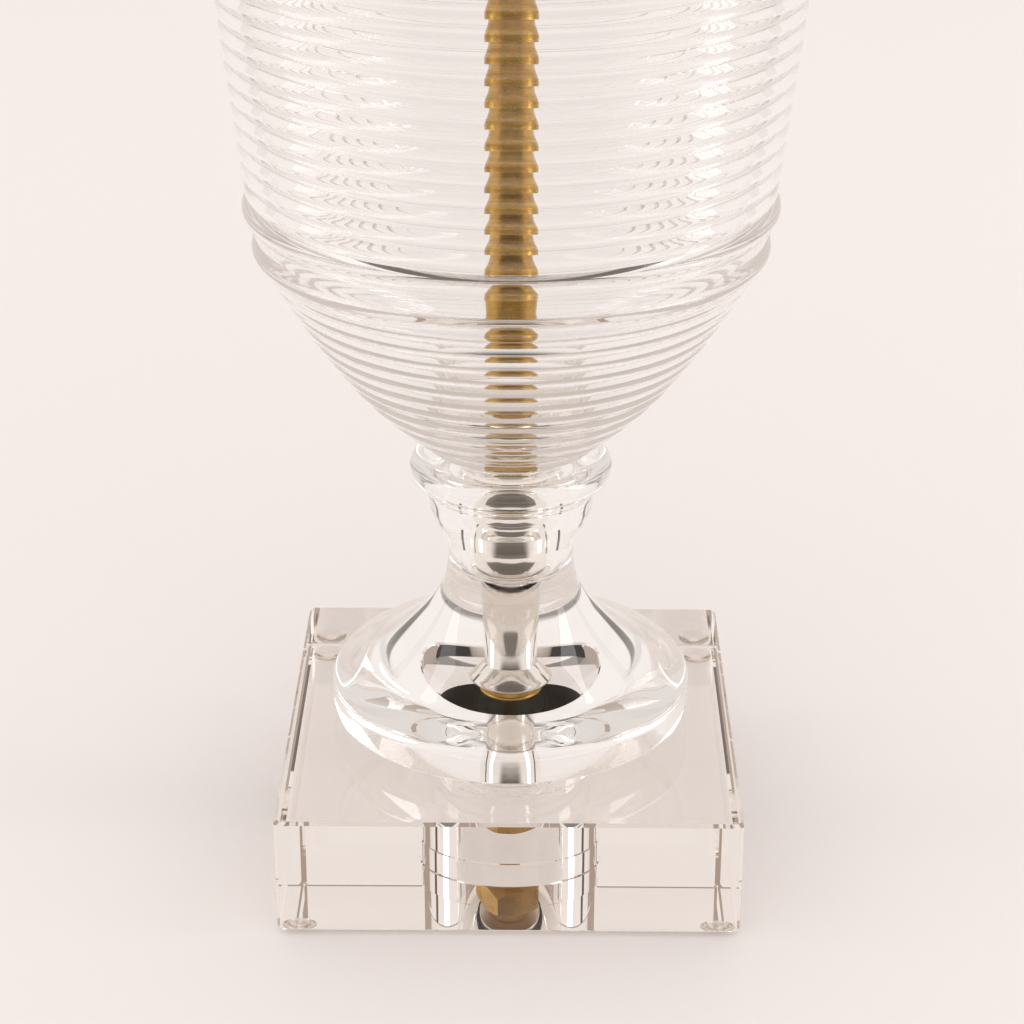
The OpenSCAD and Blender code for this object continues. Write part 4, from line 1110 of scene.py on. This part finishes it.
# %% Bulb
def bulb_base_piece():
    """Contact, insulator cone and screw shell of the bulb's base, as one threaded surface."""
    low, high, radius, pitch = level("bulb_base", 0), level("bulb_base", 1), 13.3, 3.6
    cone = [(4.2, 0.1), (4.7, 0.4), (5.4, 1.5), (9, 3.4), (radius - 0.9, 4.4)]
    wall = np.arange(5.0, 23.6, pitch / 12)
    heights = np.concatenate([[low + h for r, h in cone], low + wall, [high - 1, high]])
    radii = np.concatenate([[r for r, h in cone], np.full(len(wall), radius), [radius, 12.0]])
    rows = threaded_rows(heights, radii, 0.75, pitch, low + 5, low + 23.5, 96)
    points, faces = capped(rows, on_axis(low), on_axis(high))
    return piece_from("bulb_screw", points, faces, thread_metal, "bulb",
                      ("bulb_base",), 60)


def bulb_outline():
    """A globe on a short neck: one cubic curve and an arc outside, and the same inside the wall."""
    start, radius, neck, wall = level("bulb_glass", 0), reach("bulb_glass"), 12.8, 0.8
    ball = level("bulb_glass", 1) - radius
    leave = math.radians(-32)

    def side(r, neck_r):
        c, s = math.cos(leave), math.sin(leave)
        join = curve((neck_r + 0.2, start + 6), (neck_r + 1, start + 18),
                     (r * c + 9 * s, ball + r * s - 9 * c), (r * c, ball + r * s), 24)
        return joined(join, arc(0, ball, r, math.degrees(leave), 90, 60))

    outer = joined(line((0, start), (neck, start)), side(radius, neck))
    inner = joined(line((0, start + 1), (neck - wall, start + 1)), side(radius - wall, neck - wall))
    return outer, inner


def closed_shell(name, outer, inner, material, body, replaced, segments):
    """Two surfaces with a pole at each end, one inside the other and turned to face inwards."""
    first = turned(name, outer, material, body, replaced, segments)
    second = turned(name + "_inside", inner, material, body, (), segments)
    second.data.flip_normals()
    return first, second


bulb_base_piece()
frosted_glass, frosted_shader = finish("frosted_glass", Roughness=0.38, IOR=1.45,
                                       Transmission_Weight=0.75)
frosted_shader.inputs["Base Color"].default_value = (0.96, 0.955, 0.94, 1)
outer, inner = bulb_outline()
closed_shell("bulb_globe", outer, inner, frosted_glass, "bulb", ("bulb_glass",), 128)
print("bulb: %.0f mm across" % (2 * reach("bulb_glass")))

# %% [markdown]
# ## The harp
# A harp is one bent wire with a swaged foot at each end and a threaded stud on top. The wire lies
# in one plane, so carrying a circle along it needs no twisting frame: each ring is built from the
# plane's own normal and the path's direction.

# %% Harp
HARP_HALF_SPAN = 66.0
HARP_BEND = 38.0
WIRE_RADIUS = 1.9


def swept_wire(path, radius, sides):
    """A round wire along a path in the XZ plane, with a cap at each end.

    Every ring is p + radius (cos a Y + sin a N), where N lies in the plane, square to the path.
    """
    path = np.asarray(path, float)
    along = np.gradient(path, axis=0)
    along /= np.linalg.norm(along, axis=1)[:, None]
    flat = np.zeros(len(path))
    across = np.stack([-along[:, 1], flat, along[:, 0]], 1)[:, None]
    centre = np.stack([path[:, 0], flat, path[:, 1]], 1)
    a = (np.arange(sides) * 2 * math.pi / sides)[None, :, None]
    rings = centre[:, None] + radius * (np.sin(a) * across + np.cos(a) * np.array([0, 1, 0]))
    points, faces = capped(rings * MM, centre[0] * MM, centre[-1] * MM)
    return points, [face[::-1] for face in faces]


def harp_path():
    """The harp's middle line: leg, two opposite bends and straight side, mirrored over the bow."""
    foot_x = (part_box("harp_sleeve_right")[0][0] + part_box("harp_sleeve_right")[1][0]) / 2 / MM
    foot_z = level("harp_sleeve_right", 0)
    bend_z = foot_z + 29.95
    side_z = bend_z + 2 * HARP_BEND * math.sin(math.radians(60))
    bow_z = level("harp", 1) - 13 - 4 + 2 - HARP_HALF_SPAN
    right = joined(
        line((foot_x, foot_z + 15), (foot_x, bend_z)),
        arc(foot_x + HARP_BEND, bend_z, HARP_BEND, 180, 120, 20),
        arc(HARP_HALF_SPAN - HARP_BEND, side_z, HARP_BEND, -60, 0, 20),
        line((HARP_HALF_SPAN, side_z + 20), (HARP_HALF_SPAN, side_z + 40)),
        arc(0, bow_z, HARP_HALF_SPAN, 0, 90, 40))
    left = right[::-1][1:] * (-1, 1)
    return joined(right, left), foot_x, foot_z, bow_z


path, foot_x, foot_z, bow_z = harp_path()
points, faces = swept_wire(path, WIRE_RADIUS, 24)
piece_from("harp_wire", points, faces, bright_brass, "harp", ("harp",), 40)
print("harp: bow centre at %.1f mm" % bow_z)

# %% [markdown]
# ## The harp's feet and stud
# Each foot is a tube pressed onto the wire, open below for the saddle's post, and a loose sleeve
# drops over it. The stud on top holds the shade and has a real thread.

# %% Feet, sleeves and stud
def moved(piece, x):
    """Moves a piece's mesh along X, so that its object stays at the origin."""
    piece.data.transform(Matrix.Translation((x * MM, 0, 0)))
    return piece


def foot_outline():
    """A swaged tube, open below for the saddle's post and closed round the wire above."""
    bore, outer, low = 2.45, 3.45, foot_z + 0.25
    return joined(
        line((bore, low + 0.2), (bore + 0.3, low), (outer - 0.3, low),
             (outer, low + 0.3), (outer, low + 14)),
        curve((outer, low + 14), (outer, low + 15.4), (2.3, low + 15.4), (1.95, low + 16), 6),
        line((1.85, low + 12.8), (bore, low + 12.6)))


def sleeve_ring_outline():
    """A plain sleeve with eased ends that locks the foot on its post."""
    low, high, outer, bore = foot_z, level("harp_sleeve_right", 1), 4.75, 3.5
    return rounded([(bore, low), (outer, low), (outer, high), (bore, high)], 0.5)


for side, x in (("left", -foot_x), ("right", foot_x)):
    foot = turned("harp_foot_" + side, foot_outline(), bright_brass, "harp", (), 64)
    node = "harp_sleeve_" + side
    ring = turned("brass_" + node, sleeve_ring_outline(), bright_brass, node, (node,), 64)
    moved(foot, x)
    moved(ring, x)


def stud_piece():
    """The stud's seat and its thread, turned as one."""
    low, high, radius, pitch = level("harp", 1) - 17, level("harp", 1), 3.1, 0.94
    wall = np.arange(low + 4.4, high - 0.5, pitch / 8)
    heights = np.concatenate([[low, low + 0.6, low + 3.5, low + 4.0, low + 4.0], wall, [high]])
    radii = np.concatenate([[6.4, 7.0, 7.0, 6.5, 3.1], np.full(len(wall), radius), [2.6]])
    rows = threaded_rows(heights, radii, 0.45, pitch, low + 4.4, high - 0.4, 64)
    points, faces = capped(rows, on_axis(low), on_axis(high))
    return piece_from("harp_stud", points, faces, bright_brass, "harp", (), 50)


stud = stud_piece()
print("stud: %d faces" % len(stud.data.polygons))

# %% [markdown]
# ## The shade
# A tapered drum of linen on a stiff lining. The cloth is a thin closed wall with its own UV map, in
# metres round and up the shade, so that the weave keeps its real scale. A narrow tape is folded
# round each edge.

# %% Weave
def weave_group():
    """Plain weave from two sets of waves on the UV map, with slubs from stretched noise."""
    group, given, out = new_group(
        "plain_weave",
        [("Threads per Metre", "NodeSocketFloat", 1500.0),
         ("Light Colour", "NodeSocketColor", (1, 1, 1, 1)),
         ("Dark Colour", "NodeSocketColor", (0.5, 0.5, 0.5, 1)),
         ("Bump Strength", "NodeSocketFloat", 0.3)],
        [("Colour", "NodeSocketColor"), ("Normal", "NodeSocketVector")])
    nodes, links = group.nodes, group.links
    place = nodes.new("ShaderNodeTexCoord")
    split = nodes.new("ShaderNodeSeparateXYZ")
    links.new(place.outputs["UV"], split.inputs["Vector"])

    turns = math_step(group, "MULTIPLY", given.outputs["Threads per Metre"], 2 * math.pi)
    waves = []
    for direction in ("X", "Y"):
        phase = math_step(group, "MULTIPLY", split.outputs[direction], turns)
        waves.append(math_step(group, "ABSOLUTE", math_step(group, "SINE", phase)))
    threads = math_step(group, "ADD", waves[0], waves[1])
    slubs = []
    for scale in ((14, 420, 1), (420, 14, 1)):
        stretch = nodes.new("ShaderNodeMapping")
        stretch.inputs["Scale"].default_value = scale
        noise = nodes.new("ShaderNodeTexNoise")
        noise.inputs["Scale"].default_value = 1.0
        noise.inputs["Detail"].default_value = 3
        links.new(place.outputs["UV"], stretch.inputs["Vector"])
        links.new(stretch.outputs["Vector"], noise.inputs["Vector"])
        slubs.append(noise.outputs["Fac"])
    slub = math_step(group, "MULTIPLY", math_step(group, "ADD", slubs[0], slubs[1]), 0.5)
    height = math_step(group, "ADD", math_step(group, "MULTIPLY", threads, 0.35), slub)
    shade = nodes.new("ShaderNodeMapRange")
    shade.inputs["From Min"].default_value = 0.4
    shade.inputs["From Max"].default_value = 1.25
    mix = nodes.new("ShaderNodeMix")
    mix.data_type = "RGBA"
    bump = nodes.new("ShaderNodeBump")
    bump.inputs["Distance"].default_value = 0.0003
    links.new(height, shade.inputs["Value"])
    links.new(shade.outputs["Result"], mix.inputs["Factor"])
    links.new(given.outputs["Dark Colour"], mix.inputs["A"])
    links.new(given.outputs["Light Colour"], mix.inputs["B"])
    links.new(height, bump.inputs["Height"])
    links.new(given.outputs["Bump Strength"], bump.inputs["Strength"])
    links.new(mix.outputs["Result"], out.inputs["Colour"])
    links.new(bump.outputs["Normal"], out.inputs["Normal"])
    return group


WEAVE = weave_group()


def cloth(name, light, dark, threads, bump):
    """A woven cloth with a little sheen."""
    material, shader = finish(name, Roughness=0.85, Sheen_Weight=0.25, Sheen_Roughness=0.4)
    add_group(material, WEAVE,
              {"Threads per Metre": threads, "Light Colour": (*light, 1),
               "Dark Colour": (*dark, 1), "Bump Strength": bump},
              {"Colour": "Base Color", "Normal": "Normal"})
    return material


shade_linen = cloth("shade_linen", (0.84, 0.80, 0.71), (0.66, 0.61, 0.51), 1100.0, 0.5)
shade_tape = cloth("shade_tape", (0.82, 0.78, 0.69), (0.68, 0.63, 0.54), 1900.0, 0.3)
print("group:", WEAVE.name)

# %% [markdown]
# ## The shade's skin and tapes
# The skin is a cone of cloth and lining 1 mm thick. A cone isn't as wide at its top as at its
# bottom, so the map goes round it with the mean radius, and threads keep their width to a tenth.

# %% Shade
SHADE_BOTTOM = level("shade_skin", 0)
SHADE_TOP = level("shade_skin", 1)
SHADE_BOTTOM_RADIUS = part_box("shade_skin")[1][0] / MM
SHADE_TOP_RADIUS = SHADE_BOTTOM_RADIUS - 38
SHADE_WALL = 1.0


def shade_radius(height):
    """Outer radius of the shade's cone at a height."""
    t = (height - SHADE_BOTTOM) / (SHADE_TOP - SHADE_BOTTOM)
    return SHADE_BOTTOM_RADIUS + t * (SHADE_TOP_RADIUS - SHADE_BOTTOM_RADIUS)


def lay_uv(piece, segments):
    """A UV map in metres: round the axis by the mean radius, and along the outline's length."""
    mesh = piece.data
    count = len(mesh.loops)
    corner = np.empty(count, np.int32)
    mesh.loops.foreach_get("vertex_index", corner)
    places = np.empty(len(mesh.vertices) * 3)
    mesh.vertices.foreach_get("co", places)
    places = places.reshape(-1, 3)
    row, step = corner // segments, corner % segments
    first_row = places.reshape(-1, segments, 3)[:, 0]
    radius = np.hypot(first_row[:, 0], first_row[:, 1]).mean()
    length = np.concatenate([[0], np.cumsum(np.linalg.norm(np.diff(first_row, axis=0), axis=1))])
    steps = step.reshape(-1, 4)
    wraps = np.repeat((steps.max(1) == segments - 1) & (steps.min(1) == 0), 4)
    turn = np.where(wraps & (step == 0), segments, step) / segments * 2 * math.pi * radius
    uv = mesh.uv_layers.new(name="cloth")
    uv.data.foreach_set("uv", np.stack([turn, length[row]], 1).ravel().astype(np.float32))
    return piece


def cloth_ring(name, outline, material, replaced=()):
    """A turned piece of cloth with its UV map."""
    segments = 256
    piece = turned(name, outline, material, "shade", replaced, segments)
    return lay_uv(piece, segments)


heights = np.linspace(SHADE_BOTTOM, SHADE_TOP, 49)
outside = np.stack([shade_radius(heights), heights], 1)
wall = np.concatenate([outside, outside[::-1] - (SHADE_WALL, 0)])
cloth_ring("linen_shade", wall, shade_linen, ("shade_skin",))


def tape_outline(edge, inward):
    """A thin tape along an edge of the skin: 12 mm of the outside, and folded round the edge."""
    end, over, proud = edge + 12 * inward, edge - 0.5 * inward, 0.45
    at_edge, at_end = shade_radius(edge), shade_radius(end)
    outside = [(at_end + proud, end), (at_edge + proud, edge), (at_edge, over)]
    inside = [(at_edge - SHADE_WALL, over), (at_edge - SHADE_WALL - 0.05, edge), (at_end, end)]
    return rounded(outside + inside, 0.3, 3)


cloth_ring("bottom_tape", tape_outline(SHADE_BOTTOM, 1), shade_tape)
cloth_ring("top_tape", tape_outline(SHADE_TOP, -1), shade_tape)
print("shade: %.0f mm across at the bottom" % (2 * SHADE_BOTTOM_RADIUS))

# %% [markdown]
# ## The bottom wire
# A ring of brass wire keeps the shade's lower edge round. It sits just inside the skin, under the
# tape. The upper ring is one piece with the spider, which comes from the CAD model.

# %% Bottom wire
RING_WIRE_RADIUS = 1.6


def wire_ring(name, node):
    """A torus for a ring wire: a circle carried round the axis, just inside the skin."""
    height = (level(node, 0) + level(node, 1)) / 2
    middle = shade_radius(height) - SHADE_WALL - RING_WIRE_RADIUS - 0.07
    return turned(name, arc(middle, height, RING_WIRE_RADIUS, 0, 337.5, 15), bright_brass, "shade",
                  (node,), 192, 60)


wire_ring("bottom_wire", "shade_ring")
print("ring wire: %.1f mm" % (2 * RING_WIRE_RADIUS))

# %% [markdown]
# ## The finial
# A small turned ball on a waisted foot screws down over the spider. It is the highest point.

# %% Finial
def finial_outline():
    """Foot, waist, ball and tip, with the threaded bore from below."""
    low, high, ball = level("finial", 0), level("finial", 1), reach("finial")
    centre = high - ball - 3
    bore = 3.15

    def at(angle):
        return ball * math.cos(math.radians(angle)), centre + ball * math.sin(math.radians(angle))
    return joined(
        line((0, low + 12), (bore - 0.2, low + 12), (bore, low + 11.6),
             (bore, low + 0.4), (bore + 0.4, low), (6.4, low)),
        arc(6.4, low + 0.6, 0.6, -90, 0, 5),
        line((7, low + 2.6), (5.6, low + 3.4)),
        curve((5.6, low + 3.4), (5.4, low + 6), (4.8, centre - ball - 3), at(-62), 16),
        arc(0, centre, ball, -62, 68, 48),
        curve(at(68), (3.2, high - 1.6), (2.6, high), (0, high), 10))


finial = turned("brass_finial", finial_outline(), bright_brass, "finial", ("finial",), 128)
print("finial: %d faces" % len(finial.data.polygons))

# %% [markdown]
# ## Finishes for the pieces kept from the CAD model
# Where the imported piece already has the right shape, it stays and only gets its finish.

# %% Kept pieces
bushing_plastic = moulded("bushing_plastic", (0.020, 0.019, 0.018), (0.012, 0.011, 0.011),
                          (0.3, 0.42))
filament_glass = finish("filament_glass", Roughness=0.05, IOR=1.5, Transmission_Weight=1.0)[0]
KEPT = {
    "urn_seal": clear_rubber, "base_nut": antique_brass, "cap_gasket": black_rubber,
    "cord_bushing": bushing_plastic, "harp_saddle": bright_brass, "lock_nut": bright_brass,
    "socket_core": phenolic, "socket_insulator": liner_board, "socket_shell": bright_brass,
    "screw_shell": thread_metal, "center_contact": bright_brass, "switch_shaft": bright_brass,
    "switch_knob": phenolic, "bulb_stem": filament_glass, "shade_spider": bright_brass,
}
for node, material in KEPT.items():
    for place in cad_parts[node].material_slots:
        place.material = material
print("kept pieces:", len(KEPT))
